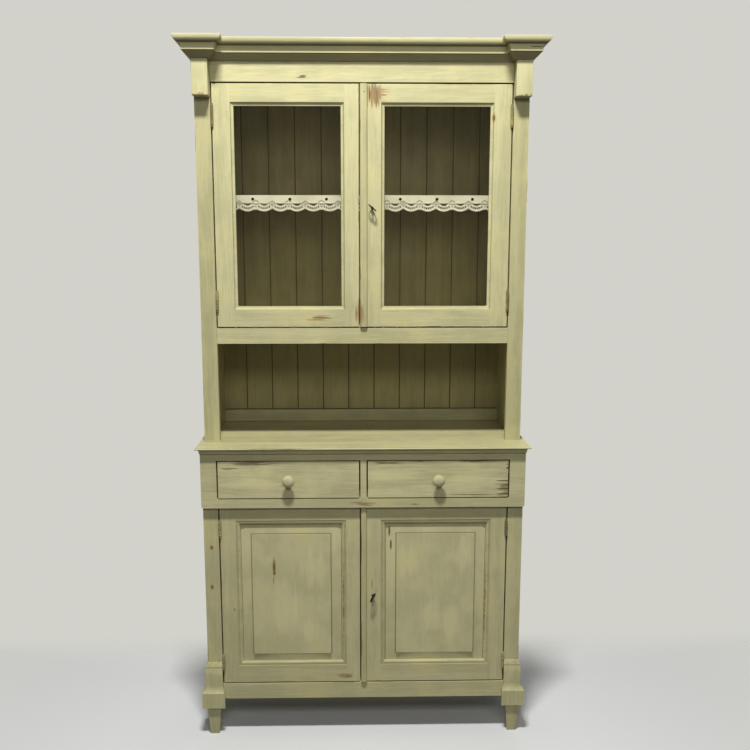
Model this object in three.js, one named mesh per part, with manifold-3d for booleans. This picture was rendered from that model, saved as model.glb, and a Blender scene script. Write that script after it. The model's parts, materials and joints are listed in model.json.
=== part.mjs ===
// A painted pine step back cupboard: a glazed upper cabinet over an open niche, standing on
// a base with two drawers and two panelled doors. Millimetres, +Z up, the front faces -Y.
// The origin is on the floor, in the middle of the overall width and depth.
import * as THREE from "three";
import { mergeVertices } from "three/addons/utils/BufferGeometryUtils.js";
import Module from "manifold-3d";

const wasm = await Module();
wasm.setup();

// Driving dimensions of the whole cupboard
const cabinetWidth = 964;
const cabinetHeight = 2080;
const baseDepth = 437;
const stepBack = 78;
const counterHeight = 920;
const seat = 0.3;
const overrun = 4;
const curveSteps = 5;

// Boards shared by both cabinets
const sideThickness = 20;
const backThickness = 12;
const backRebate = 11;
const backBoardCount = 11;
const grooveWidth = 4;
const grooveDepth = 2.5;
const doorThickness = 22;
const doorGap = 4;
const meetingGap = 3;
const meetingOffset = -8;

// Base: counter, drawer section, posts and feet
const counterThickness = 18;
const counterNose = 20;
const counterSideNose = 13.5;
const counterArris = 4;
const counterMouldingDrop = 14;
const counterMouldingWidth = 12;
const sectionProud = 17;
const sectionSideProud = 2;
const sectionHeight = 167;
const sectionCornerRadius = 6;
const drawerTopRail = 22;
const drawerBottomRail = 27;
const drawerCentreStile = 18;
const postWidth = 45;
const bottomRailHeight = 51;
const bottomBoardThickness = 18;
const deckThickness = 15;
const guideHeight = 14;

// Front feet, with heights from the floor and how far each band stands out of the post
const footHeight = 92;
const collarTop = 141;
const flareTop = 165;
const plinthTop = 224;
const plinthBevel = 16;
const plinthProud = 8;
const plinthSideProud = 7;
const collarProud = 17;
const collarSideProud = 19;
const collarInnerProud = 6;
const footTopWidth = 43;
const footBottomWidth = 27;
const undersideHeight = 116;
const rearFootWidth = 62;
const rearFootBottomWidth = 40;

// Upper cabinet
const stileWidth = 46;
const stileThickness = 22;
const nicheHeight = 298;
const midRailHeight = 46;
const friezeHeight = 56;
const boardThickness = 20;
const housingDepth = 6;
const shelfHeightShare = 0.555;
const shelfSetback = 24;
const nicheRailHeight = 43;
const nicheRailThickness = 15;
const nicheRailBevel = 4;
const topBoardThickness = 18;

// Cornice and the blocks that it breaks forward over
const blockDepth = 42;
const blockDrop = 98;
const corniceProjection = 43;
const corniceHeight = 57.5;
const corniceShares = {
  bedShare: 0.07,
  arrisOutShare: 0.53,
  arrisUpShare: 0.34,
  hollowOutShare: 0.5,
  hollowUpShare: 0.57,
  waistOutShare: 0.66,
  waistUpShare: 0.66,
  roundOutShare: 0.94,
  roundUpShare: 0.69,
  noseUpShare: 0.9,
};

// Upper doors
const upperHingeFace = 51;
const upperLeftMeetingFace = 42;
const upperRightMeetingFace = 62;
const upperRailFace = 51;
const stickingWidth = 10;
const stickingDepth = 6;
const stickingFillet = 3;
const stickingRoundShare = 0.75;
const glassThickness = 3;
const glassInset = 12;
const glassRebate = 7;

// Lower doors
const lowerHingeFace = 47;
const lowerLeftMeetingFace = 42;
const lowerRightMeetingFace = 61;
const lowerTopFace = 40;
const lowerBottomFace = 55;
const panelMouldingWidth = 15;
const panelMouldingDepth = 9;
const panelQuirk = 1.5;
const panelFillet = 4;
const panelFilletShare = 0.7;
const panelMarginSide = 32;
const panelMarginTop = 29;
const panelMarginBottom = 22;
const panelTongue = 6;
const panelGrooveDepth = 8;
const panelFieldSetback = 3;
const panelFieldStep = 3;

// Strips that cover the meeting of each pair of doors
const upperStripWidth = 22;
const lowerStripWidth = 18;
const stripProud = 9;
const stripRound = 6;

// Drawers and knobs
const drawerGap = 3;
const drawerFrontThickness = 20;
const drawerBackSpace = 42;
const drawerBoxHeight = 98;
const drawerSideClearance = 2;
const drawerRunGap = 1;
const drawerWall = 12;
const drawerFloor = 7;
const knobDiameter = 37;
const knobLength = 32;
const knobSides = 20;
const knobShares = [
  [0.6, 0], [0.6, 0.08], [0.45, 0.16], [0.41, 0.32], [0.47, 0.45], [0.8, 0.53],
  [0.97, 0.62], [1, 0.7], [0.92, 0.82], [0.66, 0.93], [0.33, 0.985],
];

// Hinges
const hingeRadius = 4.5;
const hingePinRadius = 3.9;
const hingeTipRadius = 2.2;
const hingeTipLength = 7;
const hingeNeckShare = 0.25;
const hingeBallShare = 0.65;
const upperHingeLength = 54;
const lowerHingeLength = 42;
const hingeKnuckleShare = 0.36;
const hingeKnuckleGroove = 1;
const upperHingeTopInset = 88;
const upperHingeBottomInset = 77;
const lowerHingeTopInset = 64;
const lowerHingeBottomInset = 67;
const hingeLeafWidth = 17;
const hingeLeafThickness = 1.5;
const hingeSides = 12;

// Locks, keys and the slide bolts inside the left doors
const lockWidth = 56;
const lockHeight = 46;
const lockThickness = 13;
const lockWall = 2;
const lockInset = 2;
const keySpacing = 36;
const keyRadius = 2.6;
const keyholeRadius = 3.8;
const keyProud = 9;
const keyBowWidth = 30;
const keyBowLength = 24;
const keyBowThickness = 3;
const keyBowWire = 4;
const keyBowShares = [[0.55, 0, 1, 0.48], [1.05, 1, 0.45, 1], [0.12, 1, 0, 0.82]];
const keyEyeOutShare = 0.48;
const keyEyeUpShare = 0.52;
const keyBitHeight = 7;
const keyBitLength = 6;
const keyBitThickness = 2;
const lockBoltHeight = 9;
const lockBoltThickness = 5;
const lockBoltLength = 40;
const slideBoltWidth = 9;
const slideBoltThickness = 4;
const slideBoltLength = 92;
const slideBoltSetback = 2.5;
const slideBoltKnobRadius = 5;
const slideBoltKnobLength = 10;
const slideBoltKnobInset = 18;
const upperKeyTurn = THREE.MathUtils.degToRad(-40);
const lowerKeyTurn = THREE.MathUtils.degToRad(60);

// Lace edging on the shelf
const laceHeight = 46;
const laceThickness = 1;
const laceBand = 34;
const laceScallops = 19;

// Places that follow from the sizes above
const knobReach = knobLength + seat;
const overallDepth = baseDepth + sectionProud + Math.max(knobReach, counterNose);
const backY = overallDepth / 2;
const postY = backY - baseDepth;
const sectionY = postY - sectionProud;
const counterY = sectionY - counterNose;
const upperY = postY + stepBack;
const blockY = upperY - blockDepth;
const innerBackY = backY - backThickness;
const halfWidth = cabinetWidth / 2;
const sideInnerX = halfWidth - sideThickness;
const baseOpeningX = halfWidth - postWidth;
const upperOpeningX = halfWidth - stileWidth;
const sectionTopZ = counterHeight - counterThickness;
const sectionBottomZ = sectionTopZ - sectionHeight;
const drawerBottomZ = sectionBottomZ + drawerBottomRail;
const drawerTopZ = sectionTopZ - drawerTopRail;
const bottomRailTopZ = undersideHeight + bottomRailHeight;
const midRailBottomZ = counterHeight + nicheHeight;
const upperOpeningZ = midRailBottomZ + midRailHeight;
const friezeTopZ = cabinetHeight - corniceHeight;
const friezeBottomZ = friezeTopZ - friezeHeight;
const shelfTopZ = upperOpeningZ + (friezeBottomZ - upperOpeningZ) * shelfHeightShare;
const shelfFrontY = upperY + doorThickness + shelfSetback;
const mitreSeat = seat * Math.SQRT2;
const meetingX = meetingOffset;

// Paints and metals
function finish(name, color, roughness, metalness) {
  return new THREE.MeshStandardMaterial({ name, color, roughness, metalness });
}

const carcasePaint = finish("carcase_paint", 0xb7b184, 0.62, 0);
const insidePaint = finish("inside_paint", 0x7d7852, 0.68, 0);
const knobPaint = finish("knob_paint", 0xcfc89c, 0.5, 0);
const drawerPine = finish("drawer_pine", 0xb9935f, 0.7, 0);
const hingePaint = finish("hinge_paint", 0xd8d0a0, 0.5, 0);
const laceCotton = finish("lace_cotton", 0xe9e6d8, 0.9, 0);
const lockIron = finish("lock_iron", 0x3a332c, 0.5, 0.8);
const windowGlass = finish("window_glass", 0xdfe6dc, 0.05, 0);
windowGlass.transparent = true;
windowGlass.opacity = 0.2;

// A closed three.js geometry as a solid that can be joined and cut
function solidOf(geometry) {
  const bare = geometry.index ? geometry.toNonIndexed() : geometry.clone();
  bare.deleteAttribute("normal");
  bare.deleteAttribute("uv");
  const merged = mergeVertices(bare, 1e-4);
  const mesh = new wasm.Mesh({
    numProp: 3,
    vertProperties: merged.attributes.position.array,
    triVerts: Uint32Array.from(merged.index.array),
  });
  return new wasm.Manifold(mesh);
}

// A solid back as a three.js geometry with flat faces
function geometryOf(solid) {
  const mesh = solid.getMesh();
  const geometry = new THREE.BufferGeometry();
  geometry.setAttribute("position", new THREE.BufferAttribute(new Float32Array(mesh.vertProperties), 3));
  geometry.setIndex(Array.from(mesh.triVerts));
  const flat = geometry.toNonIndexed();
  flat.computeVertexNormals();
  return flat;
}

// A block between two opposite corners
function block(x0, x1, y0, y1, z0, z1) {
  const geometry = new THREE.BoxGeometry(x1 - x0, y1 - y0, z1 - z0);
  geometry.translate((x0 + x1) / 2, (y0 + y1) / 2, (z0 + z1) / 2);
  return solidOf(geometry);
}

function shapeOf(points) {
  return new THREE.Shape(points.map(([a, b]) => new THREE.Vector2(a, b)));
}

// An outline, or a ready shape, given a thickness
function extruded(outline, depth) {
  const shape = outline instanceof THREE.Shape ? outline : shapeOf(outline);
  return new THREE.ExtrudeGeometry(shape, { depth, bevelEnabled: false, curveSegments: curveSteps });
}

// An outline drawn on one of the three planes and carried along the third axis
function alongZ(outline, z0, z1) {
  const geometry = extruded(outline, z1 - z0);
  geometry.translate(0, 0, z0);
  return solidOf(geometry);
}

function alongY(outline, y0, y1) {
  const geometry = extruded(outline, y1 - y0);
  geometry.rotateX(Math.PI / 2);
  geometry.translate(0, y1, 0);
  return solidOf(geometry);
}

const yzPlane = new THREE.Matrix4().makeBasis(
  new THREE.Vector3(0, 1, 0), new THREE.Vector3(0, 0, 1), new THREE.Vector3(1, 0, 0));

function alongX(outline, x0, x1) {
  const geometry = extruded(outline, x1 - x0);
  geometry.applyMatrix4(yzPlane);
  geometry.translate(x0, 0, 0);
  return solidOf(geometry);
}

// A round bar along Y, for bores and shanks
function barAlongY(radius, x, z, y0, y1, sides) {
  const geometry = new THREE.CylinderGeometry(radius, radius, y1 - y0, sides);
  geometry.translate(x, (y0 + y1) / 2, z);
  return solidOf(geometry);
}

function named(name, solid, material) {
  const mesh = new THREE.Mesh(geometryOf(solid), material.clone());
  mesh.name = name;
  return mesh;
}

const cupboard = new THREE.Group();
const sides = [["left", -1], ["right", 1]];

function add(group, name, solid, material) {
  const mesh = named(name, solid, material);
  group.add(mesh);
  return mesh;
}

function span(sign, a, b) {
  return sign < 0 ? [-b, -a] : [a, b];
}

// Tongued and grooved back boards: one wall with a V groove on both faces at every joint
function groovedBack(halfSpan, z0, z1) {
  const pitch = 2 * (sideInnerX + backRebate) / backBoardCount;
  const joints = [];
  for (let i = 1; i < backBoardCount; i += 1) {
    joints.push((i - backBoardCount / 2) * pitch);
  }
  const half = grooveWidth / 2;
  const groove = (x, side, faceY, depth) => [[x - side, faceY], [x, faceY + depth], [x + side, faceY]];
  const front = joints.flatMap((x) => groove(x, half, innerBackY, grooveDepth));
  const rear = [...joints].reverse().flatMap((x) => groove(x, -half, backY, -grooveDepth));
  const outline = [
    [-halfSpan, innerBackY], ...front, [halfSpan, innerBackY], [halfSpan, backY], ...rear, [-halfSpan, backY],
  ];
  return alongZ(outline, z0, z1);
}

// Counter: a board whose front and side edges carry a nosing over a hollow
function counterEdge(tip, inward) {
  const top = counterHeight;
  const hollowZ = top - counterMouldingDrop;
  const hollow = tip + inward * counterMouldingWidth;
  const curve = new THREE.QuadraticBezierCurve(
    new THREE.Vector2(tip, top - counterArris),
    new THREE.Vector2(hollow, top - counterArris),
    new THREE.Vector2(hollow, hollowZ));
  const points = curve.getPoints(curveSteps).map((p) => [p.x, p.y]);
  return [[tip, top], ...points, [hollow, top - counterThickness]];
}

function makeCounter() {
  const tipX = halfWidth + sectionSideProud + counterSideNose;
  const left = counterEdge(-tipX, 1);
  const right = counterEdge(tipX, -1).reverse();
  const front = counterEdge(counterY, 1);
  const frontView = alongY([...left, ...right], counterY, backY);
  const sideView = alongX([...front, [backY, sectionTopZ], [backY, counterHeight]], -tipX, tipX);
  return frontView.intersect(sideView);
}

// Drawer section: a face frame with two openings, proud of the posts, and rails that reach back
function makeDrawerFrame() {
  const x = halfWidth + sectionSideProud;
  const r = sectionCornerRadius;
  const topZ = sectionTopZ - seat;
  const shape = new THREE.Shape();
  shape.moveTo(-x, topZ);
  shape.lineTo(-x, sectionBottomZ + r);
  shape.quadraticCurveTo(-x, sectionBottomZ, r - x, sectionBottomZ);
  shape.lineTo(x - r, sectionBottomZ);
  shape.quadraticCurveTo(x, sectionBottomZ, x, sectionBottomZ + r);
  shape.lineTo(x, topZ);
  const face = alongY(shape, sectionY, postY - seat);
  const inner = baseOpeningX - seat;
  const rails = block(-inner, inner, sectionY, postY + doorThickness, sectionBottomZ, topZ);
  let frame = face.add(rails);
  for (const [, sign] of sides) {
    const [x0, x1] = span(sign, drawerCentreStile / 2, baseOpeningX);
    const y1 = postY + doorThickness + overrun;
    frame = frame.subtract(block(x0, x1, sectionY - overrun, y1, drawerBottomZ, drawerTopZ));
  }
  return frame;
}

// A board across the inside of the base, notched round the posts
function makeNotchedBoard(z0, z1) {
  const x = sideInnerX - seat;
  const notch = baseOpeningX - seat;
  const y0 = postY + doorThickness + seat;
  const postBack = postY + postWidth + seat;
  const y1 = innerBackY - seat;
  const plan = [
    [-notch, y0], [notch, y0], [notch, postBack], [x, postBack],
    [x, y1], [-x, y1], [-x, postBack], [-notch, postBack],
  ];
  return alongZ(plan, z0, z1);
}

// Deck under the drawers, with a guide between them and one at each side
function makeDrawerDeck() {
  const z0 = drawerBottomZ - deckThickness;
  const z1 = drawerBottomZ + guideHeight;
  const y0 = postY + doorThickness + seat;
  const y1 = innerBackY - seat;
  const inset = doorGap + drawerSideClearance - drawerRunGap;
  const halfStile = drawerCentreStile / 2 + inset;
  let deck = makeNotchedBoard(z0, drawerBottomZ).add(block(-halfStile, halfStile, y0, y1, z0, z1));
  for (const [, sign] of sides) {
    const [x0, x1] = span(sign, baseOpeningX - inset, sideInnerX - seat);
    deck = deck.add(block(x0, x1, postY + postWidth + seat, y1, z0, z1));
  }
  return deck;
}

// Base side: a board behind the post that runs down into a rear foot, rebated for the back
function makeBaseSide(sign) {
  const y0 = postY + postWidth + seat;
  const outline = [
    [y0, undersideHeight], [y0, sectionTopZ - seat], [backY, sectionTopZ - seat], [backY, 0],
    [backY - rearFootBottomWidth, 0], [backY - rearFootWidth, undersideHeight],
  ];
  const [x0, x1] = span(sign, sideInnerX, halfWidth);
  const board = alongX(outline, x0, x1);
  const [r0, r1] = span(sign, sideInnerX - overrun, sideInnerX + backRebate);
  const rebateBottom = undersideHeight - overrun;
  return board.subtract(block(r0, r1, innerBackY, backY + overrun, rebateBottom, sectionTopZ + overrun));
}

// One side of a foot's outline from the floor up, as distances out from the post's face
function footEdge(plinthOut, collarOut, footTopOut, footBottomOut) {
  const flare = new THREE.QuadraticBezierCurve(
    new THREE.Vector2(collarOut, collarTop),
    new THREE.Vector2(plinthOut, collarTop + (flareTop - collarTop) / 3),
    new THREE.Vector2(plinthOut, flareTop));
  return [
    [footBottomOut, 0], [footTopOut, footHeight], [collarOut, footHeight],
    ...flare.getPoints(curveSteps).map((p) => [p.x, p.y]),
    [plinthOut, plinthTop], [0, plinthTop + plinthBevel],
  ];
}

// Front foot: tapered leg, square collar, hollow flare and a plinth block with a bevelled top
function makeFrontFoot(sign) {
  const collarMiddleX = (halfWidth + collarSideProud + baseOpeningX - collarInnerProud) / 2;
  const collarMiddleY = postY + (postWidth - collarProud) / 2;
  const topHalf = footTopWidth / 2;
  const bottomHalf = footBottomWidth / 2;
  const outer = footEdge(plinthSideProud, collarSideProud, collarMiddleX + topHalf - halfWidth,
    collarMiddleX + bottomHalf - halfWidth).map(([out, z]) => [sign * (halfWidth + out), z]);
  const inner = footEdge(0, collarInnerProud, baseOpeningX - collarMiddleX + topHalf,
    baseOpeningX - collarMiddleX + bottomHalf).map(([out, z]) => [sign * (baseOpeningX - out), z]);
  const front = footEdge(plinthProud, collarProud, postY - collarMiddleY + topHalf,
    postY - collarMiddleY + bottomHalf).map(([out, z]) => [postY - out, z]);
  const postBack = postY + postWidth;
  const rear = [
    [postBack, plinthTop + plinthBevel], [postBack, footHeight],
    [collarMiddleY + topHalf, footHeight], [collarMiddleY + bottomHalf, 0],
  ];
  const deepest = postY - collarProud - overrun;
  const widest = halfWidth + collarSideProud + overrun;
  const frontView = alongY([...outer, ...inner.reverse()], deepest, postBack + overrun);
  const sideView = alongX([...front, ...rear], -widest, widest);
  const [x0, x1] = span(sign, 0, baseOpeningX);
  const topZ = plinthTop + plinthBevel;
  const behindFace = block(x0, x1, postY - seat, postBack + overrun, footHeight, topZ + overrun);
  const [, [, hingeZ]] = lowerHingeHeights(sign);
  const leaf = makeFixedLeaf(sign, baseOpeningX, postY, hingeZ - lowerHingeLength / 2, topZ);
  return frontView.intersect(sideView).subtract(behindFace).add(leaf);
}

// Front post: it stands on the foot and carries the fixed leaves of the door's hinges
function makePost(sign) {
  const z0 = plinthTop + plinthBevel + seat;
  const [x0, x1] = span(sign, baseOpeningX, halfWidth);
  const [[, topZ], [, bottomZ]] = lowerHingeHeights(sign);
  const half = lowerHingeLength / 2;
  return block(x0, x1, postY, postY + postWidth, z0, sectionTopZ - seat)
    .add(makeFixedLeaf(sign, baseOpeningX, postY, topZ - half, topZ + half))
    .add(makeFixedLeaf(sign, baseOpeningX, postY, z0, bottomZ + half));
}

// Upper side: a board with its front stile, rebated for the back and housed for the two shelves
function makeUpperSide(sign) {
  const stileBack = upperY + stileThickness;
  const outline = [
    [halfWidth, upperY], [upperOpeningX, upperY], [upperOpeningX, stileBack], [sideInnerX, stileBack],
    [sideInnerX, innerBackY], [sideInnerX + backRebate, innerBackY],
    [sideInnerX + backRebate, backY], [halfWidth, backY],
  ].map(([x, y]) => [sign * x, y]);
  let side = alongZ(outline, counterHeight + seat, friezeTopZ);
  const [x0, x1] = span(sign, sideInnerX - overrun, sideInnerX + housingDepth);
  const housings = [[upperOpeningZ, stileBack], [shelfTopZ, shelfFrontY]];
  for (const [topZ, frontY] of housings) {
    const housing = block(x0, x1, frontY - seat, innerBackY, topZ - boardThickness - seat, topZ + seat);
    side = side.subtract(housing);
  }
  for (const [, z] of upperHingeHeights(sign)) {
    const half = upperHingeLength / 2;
    side = side.add(makeFixedLeaf(sign, upperOpeningX, upperY, z - half, z + half));
  }
  return side;
}

// Floor of the glazed cabinet with its deep front rail, housed in the sides
function makeUpperFloor() {
  const between = upperOpeningX - seat;
  const housed = sideInnerX + housingDepth - seat;
  const railBack = upperY + stileThickness + seat;
  const y1 = innerBackY - seat;
  const plan = [
    [-between, upperY], [between, upperY], [between, railBack], [housed, railBack],
    [housed, y1], [-housed, y1], [-housed, railBack], [-between, railBack],
  ];
  const board = alongZ(plan, upperOpeningZ - boardThickness, upperOpeningZ);
  const rail = block(-between, between, upperY, upperY + stileThickness, midRailBottomZ, upperOpeningZ);
  return board.add(rail);
}

// Rail at the foot of the niche's back, with a bevelled top edge
function makeNicheRail() {
  const y1 = innerBackY - seat;
  const y0 = y1 - nicheRailThickness;
  const z0 = counterHeight + seat;
  const z1 = counterHeight + nicheRailHeight;
  const outline = [[y0, z0], [y1, z0], [y1, z1], [y0 + nicheRailBevel, z1], [y0, z1 - nicheRailBevel]];
  const x = sideInnerX - seat;
  return alongX(outline, -x, x);
}

// Cornice section: x is how far it stands out, y is the height above the frieze
function corniceOutline(backOut) {
  const s = corniceShares;
  const place = (outShare, upShare) => [outShare * corniceProjection, upShare * corniceHeight];
  const shape = new THREE.Shape();
  shape.moveTo(backOut, seat);
  shape.lineTo(s.bedShare * corniceProjection, seat);
  shape.lineTo(...place(s.arrisOutShare, s.arrisUpShare));
  const hollow = place(s.hollowOutShare, s.hollowUpShare);
  shape.quadraticCurveTo(...hollow, ...place(s.waistOutShare, s.waistUpShare));
  const round = place(s.roundOutShare, s.roundUpShare);
  shape.quadraticCurveTo(...round, corniceProjection, s.noseUpShare * corniceHeight);
  shape.lineTo(corniceProjection, corniceHeight);
  shape.lineTo(backOut, corniceHeight);
  return shape.getPoints(curveSteps).map((p) => [p.x, p.y]);
}

// A straight run of the cornice; each end is mitred outwards (1) or inwards (-1), or square (0)
function corniceRun(length, startMitre, endMitre, outward, along, origin) {
  const geometry = extruded(corniceOutline(seat), length);
  const position = geometry.attributes.position;
  for (let i = 0; i < position.count; i += 1) {
    const atEnd = position.getZ(i) > length / 2;
    const shift = atEnd ? endMitre * position.getX(i) : -startMitre * position.getX(i);
    position.setZ(i, position.getZ(i) + shift);
  }
  geometry.applyMatrix4(new THREE.Matrix4().makeBasis(outward, new THREE.Vector3(0, 0, 1), along));
  geometry.translate(origin.x, origin.y, origin.z);
  return solidOf(geometry);
}

// Cap over a corner block: the cornice mitred round the block's front and inner face
function makeCorniceCap(sign) {
  const edge = corniceOutline(0).slice(1, -1);
  const inner = edge.map(([out, up]) => [sign * (upperOpeningX - out), friezeTopZ + up]);
  const outer = edge.map(([out, up]) => [sign * (halfWidth + out), friezeTopZ + up]);
  const front = edge.map(([out, up]) => [blockY - out, friezeTopZ + up]);
  const rearY = upperY - seat;
  const frontView = alongY([...inner, ...outer.reverse()], blockY - corniceProjection - overrun, rearY);
  const reach = halfWidth + corniceProjection + overrun;
  const sideView = alongX([...front, [rearY, cabinetHeight], [rearY, friezeTopZ + seat]], -reach, reach);
  const far = corniceProjection + overrun;
  const insideMitre = [
    [upperOpeningX, upperY], [upperOpeningX - far, upperY], [upperOpeningX - far, upperY - far],
  ];
  const outsideMitre = [
    [halfWidth, blockY], [halfWidth + far, blockY - far], [halfWidth + far, upperY], [halfWidth, upperY],
  ];
  const zLow = friezeTopZ - overrun;
  const zHigh = cabinetHeight + overrun;
  return frontView.intersect(sideView)
    .subtract(alongZ(insideMitre.map(([x, y]) => [sign * x, y]), zLow, zHigh))
    .subtract(alongZ(outsideMitre.map(([x, y]) => [sign * x, y]), zLow, zHigh));
}

function makeCorniceSide(sign) {
  const startY = blockY + mitreSeat;
  const length = backY - startY;
  const outward = new THREE.Vector3(sign, 0, 0);
  if (sign < 0) {
    const along = new THREE.Vector3(0, 1, 0);
    return corniceRun(length, 1, 0, outward, along, new THREE.Vector3(-halfWidth, startY, friezeTopZ));
  }
  const along = new THREE.Vector3(0, -1, 0);
  return corniceRun(length, 0, 1, outward, along, new THREE.Vector3(halfWidth, backY, friezeTopZ));
}

function makeCorniceMiddle() {
  const half = upperOpeningX - mitreSeat;
  const outward = new THREE.Vector3(0, -1, 0);
  const along = new THREE.Vector3(-1, 0, 0);
  return corniceRun(2 * half, -1, -1, outward, along, new THREE.Vector3(half, upperY, friezeTopZ));
}

// The hollow of a moulded door opening: it narrows from the face to the sight line
function mouldedOpening(x0, x1, z0, z1, edge) {
  const y0 = edge[0][1];
  const rear = y0 + doorThickness + overrun;
  const last = edge[edge.length - 1][0];
  const plan = [
    [x0, y0 - overrun], ...edge.map(([inset, y]) => [x0 + inset, y]), [x0 + last, rear],
    [x1 - last, rear], ...[...edge].reverse().map(([inset, y]) => [x1 - inset, y]), [x1, y0 - overrun],
  ];
  const section = [
    [y0 - overrun, z0], ...edge.map(([inset, y]) => [y, z0 + inset]), [rear, z0 + last],
    [rear, z1 - last], ...[...edge].reverse().map(([inset, y]) => [y, z1 - inset]), [y0 - overrun, z1],
  ];
  return alongZ(plan, z0, z1).intersect(alongX(section, x0, x1));
}

// Outline of a strip: flat against the door, with both front arrises rounded
function makeStrip(width, x0, faceY, z0, z1) {
  const back = faceY - seat;
  const front = back - stripProud;
  const r = stripRound;
  const shape = new THREE.Shape();
  shape.moveTo(x0, back);
  shape.lineTo(x0, front + r);
  shape.quadraticCurveTo(x0, front, x0 + r, front);
  shape.lineTo(x0 + width - r, front);
  shape.quadraticCurveTo(x0 + width, front, x0 + width, front + r);
  shape.lineTo(x0 + width, back);
  return alongZ(shape, z0, z1);
}

// Glazed door: one moulded frame rebated from behind for a single pane
function upperDoorSizes(sign) {
  const left = sign < 0;
  const z0 = upperOpeningZ + doorGap;
  const z1 = friezeBottomZ - doorGap;
  const x0 = left ? doorGap - upperOpeningX : meetingX;
  const x1 = left ? meetingX - meetingGap : upperOpeningX - doorGap;
  const faceLeft = left ? upperHingeFace : upperRightMeetingFace;
  const faceRight = left ? upperLeftMeetingFace : upperHingeFace;
  return {
    x0, x1, z0, z1,
    mx0: x0 + faceLeft, mx1: x1 - faceRight, mz0: z0 + upperRailFace, mz1: z1 - upperRailFace,
  };
}

function makeUpperDoor(sign) {
  const d = upperDoorSizes(sign);
  const y1 = upperY + doorThickness;
  const flat = stickingWidth - stickingFillet;
  const edge = [
    [0, upperY], [flat / 2, upperY + stickingDepth * stickingRoundShare], [flat, upperY + stickingDepth],
    [stickingWidth, upperY + stickingDepth],
  ];
  const grow = stickingWidth - glassRebate;
  const rebateY = upperY + glassInset;
  const rebate = block(d.mx0 + grow, d.mx1 - grow, rebateY, y1 + overrun, d.mz0 + grow, d.mz1 - grow);
  return block(d.x0, d.x1, upperY, y1, d.z0, d.z1)
    .subtract(mouldedOpening(d.mx0, d.mx1, d.mz0, d.mz1, edge))
    .subtract(rebate);
}

function makePane(sign) {
  const d = upperDoorSizes(sign);
  const grow = stickingWidth - glassRebate + seat;
  const y0 = upperY + glassInset + seat;
  return block(d.mx0 + grow, d.mx1 - grow, y0, y0 + glassThickness, d.mz0 + grow, d.mz1 - grow);
}

// Panelled door: a moulded frame grooved all round for a raised and fielded panel
function lowerDoorSizes(sign) {
  const left = sign < 0;
  const z0 = bottomRailTopZ + doorGap;
  const z1 = sectionBottomZ - doorGap;
  const x0 = left ? doorGap - baseOpeningX : meetingX;
  const x1 = left ? meetingX - meetingGap : baseOpeningX - doorGap;
  const faceLeft = left ? lowerHingeFace : lowerRightMeetingFace;
  const faceRight = left ? lowerLeftMeetingFace : lowerHingeFace;
  return {
    x0, x1, z0, z1,
    mx0: x0 + faceLeft, mx1: x1 - faceRight, mz0: z0 + lowerBottomFace, mz1: z1 - lowerTopFace,
  };
}

function makeLowerDoor(sign) {
  const d = lowerDoorSizes(sign);
  const y1 = postY + doorThickness;
  const round = panelMouldingWidth - panelFillet;
  const quirkY = postY + panelQuirk;
  const filletY = postY + panelMouldingDepth * panelFilletShare;
  const curve = new THREE.QuadraticBezierCurve(
    new THREE.Vector2(0, quirkY), new THREE.Vector2(round, quirkY), new THREE.Vector2(round, filletY));
  const edge = [
    ...curve.getPoints(curveSteps).map((p) => [p.x, p.y]),
    [panelMouldingWidth, postY + panelMouldingDepth],
  ];
  const grow = panelMouldingWidth - panelGrooveDepth;
  const grooveY = postY + panelMouldingDepth + panelFieldStep;
  const grooveBack = grooveY + panelTongue + 2 * seat;
  const groove = block(d.mx0 + grow, d.mx1 - grow, grooveY, grooveBack, d.mz0 + grow, d.mz1 - grow);
  return block(d.x0, d.x1, postY, y1, d.z0, d.z1)
    .subtract(mouldedOpening(d.mx0, d.mx1, d.mz0, d.mz1, edge))
    .subtract(groove);
}

function makePanel(sign) {
  const d = lowerDoorSizes(sign);
  const grow = panelMouldingWidth - panelGrooveDepth + seat;
  const tongueY = postY + panelMouldingDepth + panelFieldStep + seat;
  const fieldY = postY + panelFieldSetback;
  const marginY = fieldY + panelFieldStep;
  const backEdge = tongueY + panelTongue;
  const section = (a0, a1, margin0, margin1) => {
    const edge0 = a0 + grow;
    const edge1 = a1 - grow;
    const lip0 = a0 + panelMouldingWidth + seat;
    const lip1 = a1 - panelMouldingWidth - seat;
    const field0 = a0 + panelMouldingWidth + margin0;
    const field1 = a1 - panelMouldingWidth - margin1;
    return [
      [edge0, tongueY], [lip0, tongueY], [field0, marginY], [field0, fieldY],
      [field1, fieldY], [field1, marginY], [lip1, tongueY], [edge1, tongueY],
      [edge1, backEdge], [edge0, backEdge],
    ];
  };
  const plan = section(d.mx0, d.mx1, panelMarginSide, panelMarginSide);
  const rising = section(d.mz0, d.mz1, panelMarginBottom, panelMarginTop);
  const upright = rising.map(([z, y]) => [y, z]);
  return alongZ(plan, d.mz0, d.mz1).intersect(alongX(upright, d.mx0, d.mx1));
}

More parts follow.
